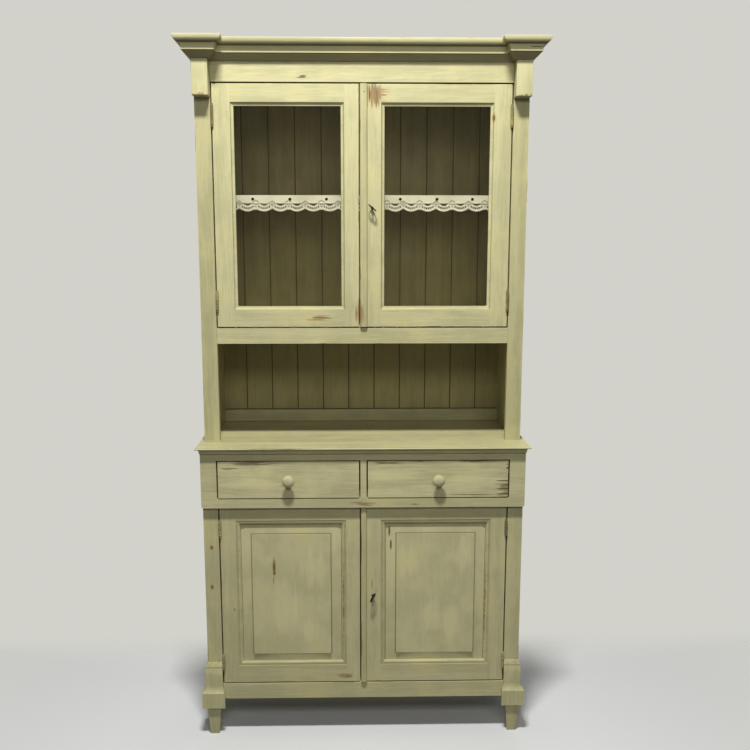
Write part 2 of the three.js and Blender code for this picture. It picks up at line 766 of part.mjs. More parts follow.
// Butt hinge: a barrel with turned ends, standing in the gap, and the leaf let in beside the door
function makeHinge(sign, openingX, faceY, middleZ, length) {
  const axisX = openingX - hingeRadius - seat;
  const axisY = faceY - hingeRadius - seat;
  const half = length / 2;
  const tip = half + hingeTipLength;
  const neck = half + hingeTipLength * hingeNeckShare;
  const ball = half + hingeTipLength * hingeBallShare;
  const joint = half * hingeKnuckleShare;
  const lower = [
    [0, -tip], [hingeTipRadius, -tip + hingeTipRadius / 2], [hingePinRadius, -ball], [hingeTipRadius, -neck],
    [hingeRadius, -half], [hingeRadius, -joint - hingeKnuckleGroove],
    [hingeRadius - hingeKnuckleGroove, -joint], [hingeRadius, -joint + hingeKnuckleGroove],
  ];
  const upper = [...lower].reverse().map(([r, h]) => [r, -h]);
  const profile = [...lower, ...upper].map(([r, h]) => new THREE.Vector2(r, h));
  const barrel = new THREE.LatheGeometry(profile, hingeSides);
  barrel.rotateX(Math.PI / 2);
  barrel.translate(sign * axisX, axisY, middleZ);
  const leafX = openingX - doorGap + seat;
  const [x0, x1] = span(sign, leafX, leafX + hingeLeafThickness);
  const leaf = block(x0, x1, axisY, faceY + hingeLeafWidth, middleZ - half, middleZ + half);
  return solidOf(barrel).add(leaf);
}

// The hinge's other leaf, screwed to the post or stile that the door hangs on
function makeFixedLeaf(sign, openingX, faceY, z0, z1) {
  const [x0, x1] = span(sign, openingX - hingeLeafThickness, openingX + overrun);
  return block(x0, x1, faceY, faceY + hingeLeafWidth, z0, z1);
}

// Where the middles of a door's two hinges stand
function hingeHeights(door, topInset, bottomInset) {
  return [["top", door.z1 - topInset], ["bottom", door.z0 + bottomInset]];
}

function upperHingeHeights(sign) {
  return hingeHeights(upperDoorSizes(sign), upperHingeTopInset, upperHingeBottomInset);
}

function lowerHingeHeights(sign) {
  return hingeHeights(lowerDoorSizes(sign), lowerHingeTopInset, lowerHingeBottomInset);
}

// Turned knob on the Y axis, a flattened mushroom on a narrow neck
function makeKnob(x, z) {
  const radius = knobDiameter / 2;
  const turned = knobShares.map(([out, along]) => [out * radius, along * knobLength]);
  const profile = [[0, 0], ...turned, [0, knobLength]].map(([r, h]) => new THREE.Vector2(r, h));
  const geometry = new THREE.LatheGeometry(profile, knobSides);
  geometry.rotateX(Math.PI);
  geometry.translate(x, sectionY - seat, z);
  return solidOf(geometry);
}

function drawerSizes(sign) {
  const [x0, x1] = span(sign, drawerCentreStile / 2 + doorGap, baseOpeningX - doorGap);
  return { x0, x1, z0: drawerBottomZ + drawerGap, z1: drawerTopZ - drawerGap };
}

function makeDrawerBox(sign) {
  const d = drawerSizes(sign);
  const x0 = d.x0 + drawerSideClearance;
  const x1 = d.x1 - drawerSideClearance;
  const y0 = sectionY + drawerFrontThickness + seat;
  const y1 = innerBackY - drawerBackSpace;
  const z0 = drawerBottomZ + seat;
  const z1 = z0 + drawerBoxHeight;
  const wall = drawerWall;
  const inside = block(x0 + wall, x1 - wall, y0 + wall, y1 - wall, z0 + drawerFloor, z1 + overrun);
  return block(x0, x1, y0, y1, z0, z1).subtract(inside);
}

// Lock on the back of a right door: a case with a channel for its bolt and a round chamber for the key
function lockPlace(faceY, middleZ) {
  const y0 = faceY + doorThickness + seat;
  const keyX = meetingX + keySpacing;
  return {
    x0: meetingX + lockInset,
    x1: meetingX + lockInset + lockWidth,
    y0,
    y1: y0 + lockThickness,
    z0: middleZ - lockHeight / 2,
    z1: middleZ + lockHeight / 2,
    keyX,
    keyZ: middleZ,
    channelY: y0 + lockWall,
    boltZ: middleZ + keyRadius + keyBitHeight + seat,
  };
}

function makeLockCase(faceY, middleZ) {
  const p = lockPlace(faceY, middleZ);
  const chamberRadius = keyRadius + keyBitHeight + 2 * seat;
  const chamber = barAlongY(chamberRadius, p.keyX, p.keyZ, p.channelY, p.y1 - lockWall, hingeSides);
  const bore = barAlongY(keyholeRadius, p.keyX, p.keyZ, p.y0 - overrun, p.channelY + overrun, hingeSides);
  const channelBack = p.channelY + lockBoltThickness + 2 * seat;
  const low = p.boltZ - seat;
  const high = p.boltZ + lockBoltHeight + seat;
  const channel = block(p.x0 - overrun, p.x1 - lockWall, p.channelY, channelBack, low, high);
  return block(p.x0, p.x1, p.y0, p.y1, p.z0, p.z1).subtract(chamber).subtract(bore).subtract(channel);
}

function makeLockBolt(faceY, middleZ) {
  const p = lockPlace(faceY, middleZ);
  const x0 = p.x0 + seat;
  const y0 = p.channelY + seat;
  return block(x0, x0 + lockBoltLength, y0, y0 + lockBoltThickness, p.boltZ, p.boltZ + lockBoltHeight);
}

// Key: a shank through the door, a bit in the lock and a pierced bow turned to the angle it was left at
function makeKey(faceY, middleZ, turn) {
  const p = lockPlace(faceY, middleZ);
  const inner = p.channelY + seat + keyBitLength;
  const shank = barAlongY(keyRadius, 0, 0, faceY - keyProud, inner, hingeSides);
  const half = keyBitThickness / 2;
  const bit = block(-half, half, inner - keyBitLength, inner, -keyRadius - keyBitHeight, 0);
  const w = keyBowWidth / 2;
  const l = keyBowLength;
  const bow = new THREE.Shape();
  bow.moveTo(0, 0);
  for (const [cx, cy, x, y] of keyBowShares) {
    bow.quadraticCurveTo(cx * w, cy * l, x * w, y * l);
  }
  const ends = [[0, 0], ...keyBowShares.map(([, , x, y]) => [x, y])];
  for (let i = keyBowShares.length - 1; i >= 0; i -= 1) {
    const [cx, cy] = keyBowShares[i];
    bow.quadraticCurveTo(-cx * w, cy * l, -ends[i][0] * w, ends[i][1] * l);
  }
  for (const [, sign] of sides) {
    const eye = new THREE.Path();
    const eyeX = sign * keyEyeOutShare * w;
    eye.absellipse(eyeX, keyEyeUpShare * l, (w - keyBowWire) / 2, l / 2 - keyBowWire, 0, 2 * Math.PI);
    bow.holes.push(eye);
  }
  const plate = extruded(bow, keyBowThickness);
  plate.translate(0, 0, -keyBowThickness / 2);
  plate.rotateX(Math.PI);
  plate.translate(0, faceY - keyProud + keyBowWire, 0);
  const turned = solidOf(plate).rotate([0, THREE.MathUtils.radToDeg(-turn), 0]);
  return shank.add(bit).add(turned).translate([p.keyX, 0, p.keyZ]);
}

// Slide bolt on the back of a left door: a flat bar with a finger knob
function makeSlideBolt(x, faceY, doorTopZ) {
  const y0 = faceY + doorThickness + 2 * seat;
  const z1 = doorTopZ - slideBoltSetback;
  const half = slideBoltWidth / 2;
  const bar = block(x - half, x + half, y0, y0 + slideBoltThickness, z1 - slideBoltLength, z1);
  const knobZ = z1 - slideBoltLength + slideBoltKnobInset;
  const knobEnd = y0 + slideBoltThickness + slideBoltKnobLength;
  const knob = barAlongY(slideBoltKnobRadius, x, knobZ, y0 + slideBoltThickness / 2, knobEnd, hingeSides);
  return bar.add(knob);
}

// Lace: a flat heading with a row of scallops below it
function makeLace() {
  const x = sideInnerX - seat;
  const pitch = 2 * x / laceScallops;
  const top = shelfTopZ;
  const bandZ = top - laceBand;
  const depth = 2 * (laceHeight - laceBand);
  const shape = new THREE.Shape();
  shape.moveTo(-x, top);
  shape.lineTo(-x, bandZ);
  for (let i = 0; i < laceScallops; i += 1) {
    const start = i * pitch - x;
    shape.quadraticCurveTo(start + pitch / 2, bandZ - depth, start + pitch, bandZ);
  }
  shape.lineTo(x, top);
  return alongY(shape, shelfFrontY - seat - laceThickness, shelfFrontY - seat);
}

// The base
function buildBase() {
  const base = new THREE.Group();
  add(base, "counter_top", makeCounter(), carcasePaint);
  add(base, "drawer_frame", makeDrawerFrame(), carcasePaint);
  add(base, "drawer_deck", makeDrawerDeck(), drawerPine);
  for (const [name, sign] of sides) {
    add(base, `${name}_post`, makePost(sign), carcasePaint);
    add(base, `${name}_foot`, makeFrontFoot(sign), carcasePaint);
    add(base, `${name}_base_side`, makeBaseSide(sign), carcasePaint);
  }
  const railX = baseOpeningX - seat;
  const rail = block(-railX, railX, postY, postY + doorThickness, undersideHeight, bottomRailTopZ);
  add(base, "bottom_rail", rail, carcasePaint);
  const bottomBoard = makeNotchedBoard(bottomRailTopZ - bottomBoardThickness, bottomRailTopZ);
  add(base, "bottom_board", bottomBoard, insidePaint);
  const backX = sideInnerX + backRebate - seat;
  add(base, "base_back", groovedBack(backX, undersideHeight, sectionTopZ - seat), insidePaint);
  return base;
}

// The upper cabinet
function buildUpper() {
  const upper = new THREE.Group();
  for (const [name, sign] of sides) {
    add(upper, `${name}_upper_side`, makeUpperSide(sign), carcasePaint);
    const [x0, x1] = span(sign, upperOpeningX, halfWidth);
    const corner = block(x0, x1, blockY, upperY - seat, friezeTopZ - blockDrop, friezeTopZ);
    add(upper, `${name}_corner_block`, corner, carcasePaint);
    add(upper, `${name}_cornice_cap`, makeCorniceCap(sign), carcasePaint);
    add(upper, `${name}_cornice_side`, makeCorniceSide(sign), carcasePaint);
  }
  add(upper, "cornice_middle", makeCorniceMiddle(), carcasePaint);
  const railX = upperOpeningX - seat;
  const frieze = block(-railX, railX, upperY, upperY + stileThickness, friezeBottomZ, friezeTopZ);
  add(upper, "frieze_rail", frieze, carcasePaint);
  add(upper, "upper_floor", makeUpperFloor(), carcasePaint);
  const housed = sideInnerX + housingDepth - seat;
  const shelf = block(-housed, housed, shelfFrontY, innerBackY - seat, shelfTopZ - boardThickness, shelfTopZ);
  add(upper, "upper_shelf", shelf, insidePaint);
  const backX = sideInnerX + backRebate - seat;
  add(upper, "upper_back", groovedBack(backX, counterHeight + seat, friezeTopZ), insidePaint);
  const topZ = friezeTopZ + seat;
  const top = block(-halfWidth, halfWidth, upperY, backY, topZ, topZ + topBoardThickness);
  add(upper, "top_board", top, insidePaint);
  add(upper, "niche_rail", makeNicheRail(), insidePaint);
  add(upper, "lace_edging", makeLace(), laceCotton);
  return upper;
}

// The four doors with their glass, panels, strips, hinges, locks and bolts
function buildDoors() {
  const doors = new THREE.Group();
  const upperMiddle = (upperOpeningZ + friezeBottomZ) / 2;
  const lowerMiddle = (bottomRailTopZ + sectionBottomZ) / 2;
  for (const [name, sign] of sides) {
    const up = upperDoorSizes(sign);
    const low = lowerDoorSizes(sign);
    const upperLock = lockPlace(upperY, upperMiddle);
    const lowerLock = lockPlace(postY, lowerMiddle);
    const bore = (p, faceY) => {
      const front = faceY - overrun;
      return barAlongY(keyholeRadius, p.keyX, p.keyZ, front, p.y0 + overrun, hingeSides);
    };
    let upperFrame = makeUpperDoor(sign);
    let lowerFrame = makeLowerDoor(sign);
    if (sign > 0) {
      upperFrame = upperFrame.subtract(bore(upperLock, upperY));
      lowerFrame = lowerFrame.subtract(bore(lowerLock, postY));
    }
    add(doors, `upper_${name}_door`, upperFrame, carcasePaint);
    add(doors, `upper_${name}_glass`, makePane(sign), windowGlass);
    add(doors, `lower_${name}_door`, lowerFrame, carcasePaint);
    add(doors, `lower_${name}_panel`, makePanel(sign), carcasePaint);
    const hinges = [
      ["upper", upperOpeningX, upperY, upperHingeHeights(sign), upperHingeLength],
      ["lower", baseOpeningX, postY, lowerHingeHeights(sign), lowerHingeLength],
    ];
    for (const [stage, openingX, faceY, heights, length] of hinges) {
      for (const [end, z] of heights) {
        add(doors, `${stage}_${name}_${end}_hinge`, makeHinge(sign, openingX, faceY, z, length), hingePaint);
      }
    }
    if (sign < 0) {
      const upperX = up.x1 - upperLeftMeetingFace / 2;
      const lowerX = low.x1 - lowerLeftMeetingFace / 2;
      add(doors, "upper_left_bolt", makeSlideBolt(upperX, upperY, up.z1), lockIron);
      add(doors, "lower_left_bolt", makeSlideBolt(lowerX, postY, low.z1), lockIron);
    } else {
      add(doors, "upper_strip", makeStrip(upperStripWidth, up.x0, upperY, up.z0, up.z1), carcasePaint);
      add(doors, "lower_strip", makeStrip(lowerStripWidth, low.x0, postY, low.z0, low.z1), carcasePaint);
    }
  }
  const locks = [["upper", upperY, upperMiddle, upperKeyTurn], ["lower", postY, lowerMiddle, lowerKeyTurn]];
  for (const [stage, faceY, middleZ, turn] of locks) {
    add(doors, `${stage}_lock_case`, makeLockCase(faceY, middleZ), lockIron);
    add(doors, `${stage}_lock_bolt`, makeLockBolt(faceY, middleZ), lockIron);
    add(doors, `${stage}_key`, makeKey(faceY, middleZ, turn), lockIron);
  }
  return doors;
}

// The two drawers
function buildDrawers() {
  const drawers = new THREE.Group();
  for (const [name, sign] of sides) {
    const d = drawerSizes(sign);
    const front = block(d.x0, d.x1, sectionY, sectionY + drawerFrontThickness, d.z0, d.z1);
    add(drawers, `${name}_drawer_front`, front, carcasePaint);
    add(drawers, `${name}_drawer_box`, makeDrawerBox(sign), drawerPine);
    add(drawers, `${name}_knob`, makeKnob((d.x0 + d.x1) / 2, (d.z0 + d.z1) / 2), knobPaint);
  }
  return drawers;
}

cupboard.add(buildBase(), buildUpper(), buildDoors(), buildDrawers());

export default cupboard;
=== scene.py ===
import json
import math

import bmesh
import bpy
from mathutils import Matrix, Vector


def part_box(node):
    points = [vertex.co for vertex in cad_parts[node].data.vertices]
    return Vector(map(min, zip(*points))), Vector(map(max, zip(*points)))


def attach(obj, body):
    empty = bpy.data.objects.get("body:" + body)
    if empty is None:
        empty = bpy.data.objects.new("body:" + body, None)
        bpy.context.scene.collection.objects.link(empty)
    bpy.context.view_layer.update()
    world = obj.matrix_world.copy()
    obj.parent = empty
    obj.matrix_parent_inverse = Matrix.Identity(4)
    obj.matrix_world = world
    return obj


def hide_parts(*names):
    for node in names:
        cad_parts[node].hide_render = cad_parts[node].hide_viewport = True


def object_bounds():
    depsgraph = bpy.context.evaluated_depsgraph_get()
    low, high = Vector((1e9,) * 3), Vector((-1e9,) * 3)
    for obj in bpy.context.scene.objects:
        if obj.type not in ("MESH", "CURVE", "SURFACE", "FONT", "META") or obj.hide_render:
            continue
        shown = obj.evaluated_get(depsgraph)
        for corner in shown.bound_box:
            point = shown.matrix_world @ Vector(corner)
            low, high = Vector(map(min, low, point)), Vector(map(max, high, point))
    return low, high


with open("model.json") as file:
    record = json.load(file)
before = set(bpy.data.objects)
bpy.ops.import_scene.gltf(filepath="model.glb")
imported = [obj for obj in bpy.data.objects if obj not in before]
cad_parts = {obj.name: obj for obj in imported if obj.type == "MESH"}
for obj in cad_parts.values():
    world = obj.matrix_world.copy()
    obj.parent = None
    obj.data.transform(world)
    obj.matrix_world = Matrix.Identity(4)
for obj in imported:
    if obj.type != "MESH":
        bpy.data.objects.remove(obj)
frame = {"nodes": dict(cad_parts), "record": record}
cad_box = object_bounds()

# Sides, posts and feet: upright pine boards that run the height of each stage, glued and nailed
# to the rails. All are brushed with the same chalky olive cream, which is rubbed through on the
# arrises and over the knots.
BRUSHED_CREAM = (199, 194, 151)
BRUSHED_OLIVE = (184, 180, 138)
DULLED_CREAM = (189, 184, 141)
DULLED_OLIVE = (174, 170, 128)
RUBBED_PINE = (170, 138, 96)
BACK_PINE = (190, 154, 108)
BACK_PINE_DARK = (150, 112, 72)
# The pale arris colour is paler worn paint and a painted highlight along the edges.
PALE_ARRIS_HIGHLIGHT = (222, 217, 180)
PATCH_CREAM = (224, 216, 166)
# CREVICE is a painted shade for creases, quirks and undersides, and the dark line where hinge knuckles
# part.
CREVICE = (74, 64, 34)
CRACK = (62, 48, 30)
KNOT_BROWN = (138, 104, 56)
KNOT_DARK = (78, 56, 32)
YELLOWED = (1.03, 1.0, 0.88)
SCUFFED = 0.82
LIGHTENED = 1.07
RING_DARK = 0.70
BRISTLE_SHARE = 0.52
STROKE_SHARE = 0.65
PATCH_SHARE = 0.42
PALE_SHARE = 0.45
RUB_SHARE = 0.85
CRACK_SHARE = 0.8
KNOT_SHARE = 0.85
KNOT_EYE_SHARE = 0.8
PAINT_DEPTH = 0.0006
ARRIS_EASE = 0.0012
ARRIS_ANGLE = 32
FLAT_ANGLE = 0.5
MERGE_REACH = 0.00001
GRAIN_STRETCH = 0.06
FAR_AWAY = 9.0

body_of = {}
for body, nodes in frame["record"]["behaviour"]["bodies"].items():
    body_of.update(dict.fromkeys(nodes, body))


def shade(red, green, blue):
    """The linear colour of a paint sample given in screen values."""
    linear = [((c / 255 + 0.055) / 1.055) ** 2.4 for c in (red, green, blue)]
    return (*linear, 1.0)


def brush_on(tree):
    """The brush that adds one node to an emptied tree and gives its output."""
    tree.nodes.clear()

    def brush(kind, inputs, output=0, **settings):
        node = tree.nodes.new("ShaderNode" + kind)
        for key, value in settings.items():
            setattr(node, key, value)
        for key, value in inputs.items():
            if isinstance(value, bpy.types.NodeSocket):
                tree.links.new(value, node.inputs[key])
            else:
                node.inputs[key].default_value = value
        return node.outputs[output] if node.outputs else None

    return brush


def new_finish(name):
    """A new material and the brush that paints it."""
    material = bpy.data.materials.new(name)
    material.use_nodes = True
    return material, brush_on(material.node_tree)


def sum_of(brush, operation, first, second=0.0, third=0.0):
    """One step of arithmetic on up to three values."""
    return brush("Math", {0: first, 1: second, 2: third}, operation=operation)


def fade(brush, value, start, end, low=0.0, high=1.0):
    """A smooth step of a value from start to end."""
    inputs = {"Value": value, "From Min": start, "From Max": end, "To Min": low, "To Max": high}
    return brush("MapRange", inputs, interpolation_type="SMOOTHSTEP")


def over(brush, share, under, top):
    """A top colour laid over another by a share."""
    return brush("Mix", {0: share, 6: under, 7: top}, output=2, data_type="RGBA")


def speckle(brush, place, scale, detail=2.0, roughness=0.5):
    """Cloudy noise from 0 to 1, finer with a larger scale."""
    return brush("TexNoise", {"Vector": place, "Scale": scale, "Detail": detail, "Roughness": roughness})


def along_grain(brush, grain, rails):
    """Places drawn out along the grain, which turns from upright to level between the rails' ends."""
    place = brush("TexCoord", {}, output="Object")
    seed = brush("Attribute", {}, output="Vector", attribute_name="low_corner")
    stretch = {"x": (GRAIN_STRETCH, 1, 1), "y": (1, GRAIN_STRETCH, 1), "z": (1, 1, GRAIN_STRETCH)}
    drawn = brush("VectorMath", {0: place, 1: stretch[grain]}, operation="MULTIPLY")
    if rails:
        level = brush("VectorMath", {0: place, 1: stretch["x"]}, operation="MULTIPLY")
        x = brush("SeparateXYZ", {0: place}, output="X")
        middle, half = (rails[0] + rails[1]) / 2, (rails[1] - rails[0]) / 2
        between = sum_of(brush, "COMPARE", x, middle, half)
        drawn = brush("Mix", {0: between, 4: drawn, 5: level}, output=1, data_type="VECTOR")
    return place, brush("VectorMath", {0: drawn, 1: seed}, operation="ADD")


def near_arris(brush, place):
    """The distance to the nearest arris of the board, from its two far corners."""
    low = brush("Attribute", {}, output="Vector", attribute_name="low_corner")
    high = brush("Attribute", {}, output="Vector", attribute_name="high_corner")
    from_low = brush("VectorMath", {0: place, 1: low}, operation="SUBTRACT")
    from_high = brush("VectorMath", {0: high, 1: place}, operation="SUBTRACT")
    least = brush("VectorMath", {0: from_low, 1: from_high}, operation="MINIMUM")
    x, y, z = (brush("SeparateXYZ", {0: least}, output=axis) for axis in "XYZ")
    outer = sum_of(brush, "MAXIMUM", x, y)
    return sum_of(brush, "MAXIMUM", sum_of(brush, "MINIMUM", x, y), sum_of(brush, "MINIMUM", outer, z))


def near_spots(brush, place, spots):
    """1 at the rim of the nearest spot and 0 at its middle; a spot is its middle and half sizes."""
    nearest = FAR_AWAY
    for middle, reach in spots:
        away = brush("VectorMath", {0: place, 1: middle}, operation="SUBTRACT")
        away = brush("VectorMath", {0: away, 1: [1 / r for r in reach]}, operation="MULTIPLY")
        away = brush("VectorMath", {0: away}, output="Value", operation="LENGTH")
        nearest = sum_of(brush, "MINIMUM", away, nearest)
    return nearest


def painted(name, tone=BRUSHED_CREAM, second=BRUSHED_OLIVE, grain="z", rails=None, rubbed=(), knots=(),
            cracks=(), arris=0.0030, pale=0.0022, brushed=0.6, underside_shade=0.0, bare=RUBBED_PINE,
            bare_behind=None, crevices=(), patches=()):
    """Brushed chalky paint over pine, rubbed through in places, with painted shade in its crevices and
    under it.

    Rubbed, knots, cracks and patches are spots. A crevice is an axis, a place on it, half its width
    and its share of painted shade. Arris and pale say how far the bare and the pale edges reach; the
    pale edges are paler worn paint with a painted highlight.
    """
    material, brush = new_finish(name)
    place, drawn = along_grain(brush, grain, rails)
    film = speckle(brush, drawn, 24, detail=3, roughness=0.55)
    bristles = speckle(brush, drawn, 330, detail=3, roughness=0.6)
    cloud = speckle(brush, place, 9, detail=3, roughness=0.6)
    thin = sum_of(brush, "MULTIPLY_ADD", film, brushed, sum_of(brush, "MULTIPLY", cloud, 1 - brushed))
    coat = over(brush, fade(brush, thin, 0.40, 0.58), shade(*second), shade(*tone))
    yellowed = tuple(c * k for c, k in zip(tone, YELLOWED))
    coat = over(brush, fade(brush, cloud, 0.5, 0.75, high=0.5), coat, shade(*yellowed))
    scuffed = tuple(c * SCUFFED for c in second)
    scratchy = fade(brush, bristles, 0.46, 0.74, high=BRISTLE_SHARE * brushed)
    coat = over(brush, scratchy, coat, shade(*scuffed))
    strokes = speckle(brush, drawn, 150, detail=3, roughness=0.6)
    lighter = tuple(c * LIGHTENED for c in tone)
    stroked = fade(brush, strokes, 0.50, 0.70, high=STROKE_SHARE * brushed)
    coat = over(brush, stroked, coat, shade(*lighter))

    rings = speckle(brush, drawn, 90, detail=2, roughness=0.7)
    shaded = tuple(c * RING_DARK for c in bare)
    pine = over(brush, fade(brush, rings, 0.35, 0.65), shade(*shaded), shade(*bare))
    flakes = speckle(brush, drawn, 60, detail=4, roughness=0.65)
    streaks = speckle(brush, drawn, 210, detail=4, roughness=0.7)
    # Paler patches of paint; on the cornice's cove the patch is a painted highlight.
    if patches:
        feathered = sum_of(brush, "MULTIPLY_ADD", flakes, 2.6, near_spots(brush, place, patches))
        coat = over(brush, fade(brush, feathered, 2.45, 1.75, high=PATCH_SHARE), coat, shade(*PATCH_CREAM))
    corner = near_arris(brush, place)
    # Pale edges: paler worn paint with a painted highlight along the arrises.
    coat = over(brush, fade(brush, corner, pale, 0.0, high=PALE_SHARE), coat, shade(*PALE_ARRIS_HIGHLIGHT))
    rub = fade(brush, flakes, 0.54, 0.72, high=-arris)
    worn = fade(brush, sum_of(brush, "ADD", corner, rub), 0.0002, -0.0006)
    if rubbed:
        edge = sum_of(brush, "MULTIPLY_ADD", streaks, -3.2, near_spots(brush, place, rubbed))
        worn = sum_of(brush, "MAXIMUM", worn, fade(brush, edge, -0.75, -1.15, high=RUB_SHARE))
    coat = over(brush, worn, coat, pine)
    # Crevices: painted shade laid in bands across quirks, grooves and joints.
    for axis, middle, half, share in crevices:
        along = brush("SeparateXYZ", {0: place}, output=axis)
        away = sum_of(brush, "ABSOLUTE", sum_of(brush, "SUBTRACT", along, middle))
        coat = over(brush, fade(brush, away, half, half * 0.4, high=share), coat, shade(*CREVICE))
    # Faces that look down are darkened: a painted shade under things.
    if underside_shade:
        facing = brush("TexCoord", {}, output="Normal")
        down = brush("SeparateXYZ", {0: facing}, output="Z")
        coat = over(brush, fade(brush, down, -0.6, -0.95, high=underside_shade), coat, shade(*CREVICE))
    if cracks:
        ragged = sum_of(brush, "MULTIPLY_ADD", flakes, 0.9, near_spots(brush, place, cracks))
        coat = over(brush, fade(brush, ragged, 1.5, 1.1, high=CRACK_SHARE), coat, shade(*CRACK))
    if knots:
        eye = near_spots(brush, place, knots)
        bled = sum_of(brush, "MULTIPLY_ADD", film, 0.8, eye)
        coat = over(brush, fade(brush, bled, 1.5, 0.8, high=KNOT_SHARE), coat, shade(*KNOT_BROWN))
        coat = over(brush, fade(brush, eye, 0.45, 0.3, high=KNOT_EYE_SHARE), coat, shade(*KNOT_DARK))
    if bare_behind is not None:
        y = brush("SeparateXYZ", {0: place}, output="Y")
        raw = over(brush, fade(brush, rings, 0.3, 0.7), shade(*BACK_PINE_DARK), shade(*BACK_PINE))
        coat = over(brush, sum_of(brush, "GREATER_THAN", y, bare_behind), coat, raw)

    relief = sum_of(brush, "MULTIPLY_ADD", bristles, 0.35, film)
    relief = sum_of(brush, "MULTIPLY_ADD", worn, -0.9, relief)
    bump = brush("Bump", {"Strength": 0.5, "Distance": PAINT_DEPTH, "Height": relief})
    dull = sum_of(brush, "MULTIPLY_ADD", worn, 0.2, fade(brush, film, 0.3, 0.7, 0.46, 0.6))
    surface = brush("BsdfPrincipled", {"Base Color": coat, "Roughness": dull, "Normal": bump})
    brush("OutputMaterial", {"Surface": surface})
    return material


def eased(node, finish, ease=ARRIS_EASE):
    """A board made from its solid, with its sharp arrises taken off by sandpaper."""
    solid = bmesh.new()
    solid.from_mesh(frame["nodes"][node].data)
    bmesh.ops.remove_doubles(solid, verts=solid.verts, dist=MERGE_REACH)
    bmesh.ops.dissolve_limit(
        solid, angle_limit=math.radians(FLAT_ANGLE), verts=solid.verts, edges=solid.edges)
    for face in solid.faces:
        face.smooth = ease > 0
    mesh = bpy.data.meshes.new(node + "_eased")
    solid.to_mesh(mesh)
    solid.free()
    low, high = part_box(node)
    for corner, place in (("low_corner", low), ("high_corner", high)):
        layer = mesh.attributes.new(corner, "FLOAT_VECTOR", "POINT")
        layer.data.foreach_set("vector", [c for _ in mesh.vertices for c in place])
    piece = bpy.data.objects.new(node + "_eased", mesh)
    bpy.context.scene.collection.objects.link(piece)
    mesh.materials.append(finish)
    if ease:
        round_off = piece.modifiers.new("eased arrises", "BEVEL")
        round_off.width = ease
        round_off.segments = 2
        round_off.limit_method = "ANGLE"
        round_off.angle_limit = math.radians(ARRIS_ANGLE)
        flatten = piece.modifiers.new("flat faces", "WEIGHTED_NORMAL")
        flatten.keep_sharp = True
    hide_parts(node)
    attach(piece, body_of[node])
    return piece


POST_KNOTS = [
    [(-0.4598, -0.194, 0.6077), (0.006, 0.03, 0.008)],
    [(-0.4619, -0.194, 0.4822), (0.006, 0.03, 0.009)],
    [(-0.4615, -0.201, 1.9262), (0.011, 0.03, 0.004)],
]
PLINTH_TOP = 0.224
# A painted shade darkens a thin line just below the plinth's top.
PLINTH_SHADE_LINE = [("Z", PLINTH_TOP - 0.001, 0.0018, 0.6)]
block_low, block_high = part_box("left_corner_block")
block_half = (block_high.x - block_low.x) / 2
BLOCK_WEAR = [
    [(side * (block_high.x + block_low.x) / 2, block_low.y, block_low.z), (block_half, 0.012, 0.007)]
    for side in (-1, 1)
]
upright = painted("brushed paint with upright grain", knots=POST_KNOTS, rubbed=BLOCK_WEAR)
for node in ("left_post", "right_post", "left_base_side", "right_base_side",
             "left_corner_block", "right_corner_block"):
    eased(node, upright)
duller_upright = painted("duller paint with upright grain", DULLED_CREAM, DULLED_OLIVE, knots=POST_KNOTS)
eased("left_upper_side", duller_upright)
eased("right_upper_side", duller_upright)
PLINTH_BEVEL = [[(0.0, -0.2, PLINTH_TOP - 0.0070), (FAR_AWAY, 0.2, 0.0150)]]
foot_paint = painted(
    "brushed paint on the feet", pale=0.004, arris=0.0040, patches=PLINTH_BEVEL, crevices=PLINTH_SHADE_LINE)
eased("left_foot", foot_paint)
eased("right_foot", foot_paint)

# Counter, drawer section and rails: level boards between the posts. The counter's nosing is
# moulded with a plane, and its front arris and the edges round the drawers are rubbed to bare pine
# by hands.
RAIL_WEAR = [
    [(0.0, -0.211, 0.7455), (0.042, 0.02, 0.008)],
    [(0.153, -0.211, 0.7450), (0.018, 0.02, 0.004)],
]
RAIL_CRACKS = [
    [(-0.1743, -0.116, 1.9795), (0.018, 0.03, 0.0022)],
    [(-0.1700, -0.116, 1.9830), (0.012, 0.03, 0.0028)],
]
COUNTER_WEAR = [
    [(0.18, -0.231, 0.9115), (0.33, 0.012, 0.006)],
    [(-0.30, -0.231, 0.9125), (0.10, 0.012, 0.005)],
]
GREYED_PINE = (158, 138, 102)
# GAP_SHADE darkens the rails' downward faces: a painted shade in the gaps above and below them.
GAP_SHADE = 0.85
level = painted(
    "brushed paint with level grain", grain="x", rubbed=RAIL_WEAR, cracks=RAIL_CRACKS, underside_shade=GAP_SHADE,
    bare=GREYED_PINE)
counter = painted(
    "brushed paint on the counter", DULLED_CREAM, DULLED_OLIVE, grain="x", arris=0.0042,
    rubbed=COUNTER_WEAR, pale=0.0060, bare=GREYED_PINE)
eased("counter_top", counter)
for node in ("drawer_frame", "bottom_rail", "frieze_rail", "upper_floor"):
    eased(node, level)

# Insides: tongued pine boards nailed across the back, and a shelf and floors housed in the sides.
# They have the same paint, gone darker and duller. The back boards are bare pine behind, and the
# board that the drawers run on was never painted.
INSIDE_OLIVE = (160, 152, 108)
INSIDE_SHADE = (146, 138, 96)
NICHE_OLIVE = (176, 172, 132)
NICHE_SHADE = (162, 158, 120)
RAW_PINE = (196, 160, 114)
RAW_PINE_DARK = (158, 118, 78)
PINE_PORE = (128, 92, 58)
BACK_SKIN = 0.002
GROOVE_SHADE = 0.9
back_y = cad_box[1].y - BACK_SKIN
board_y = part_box("upper_back")[0].y
inside_upright = painted(
    "dull paint on the back boards", INSIDE_OLIVE, INSIDE_SHADE, bare_behind=back_y,
    crevices=[("Y", board_y + 0.0020, 0.0018, GROOVE_SHADE)])
inside_level = painted("dull paint on the shelf and floors", INSIDE_OLIVE, INSIDE_SHADE, grain="x")
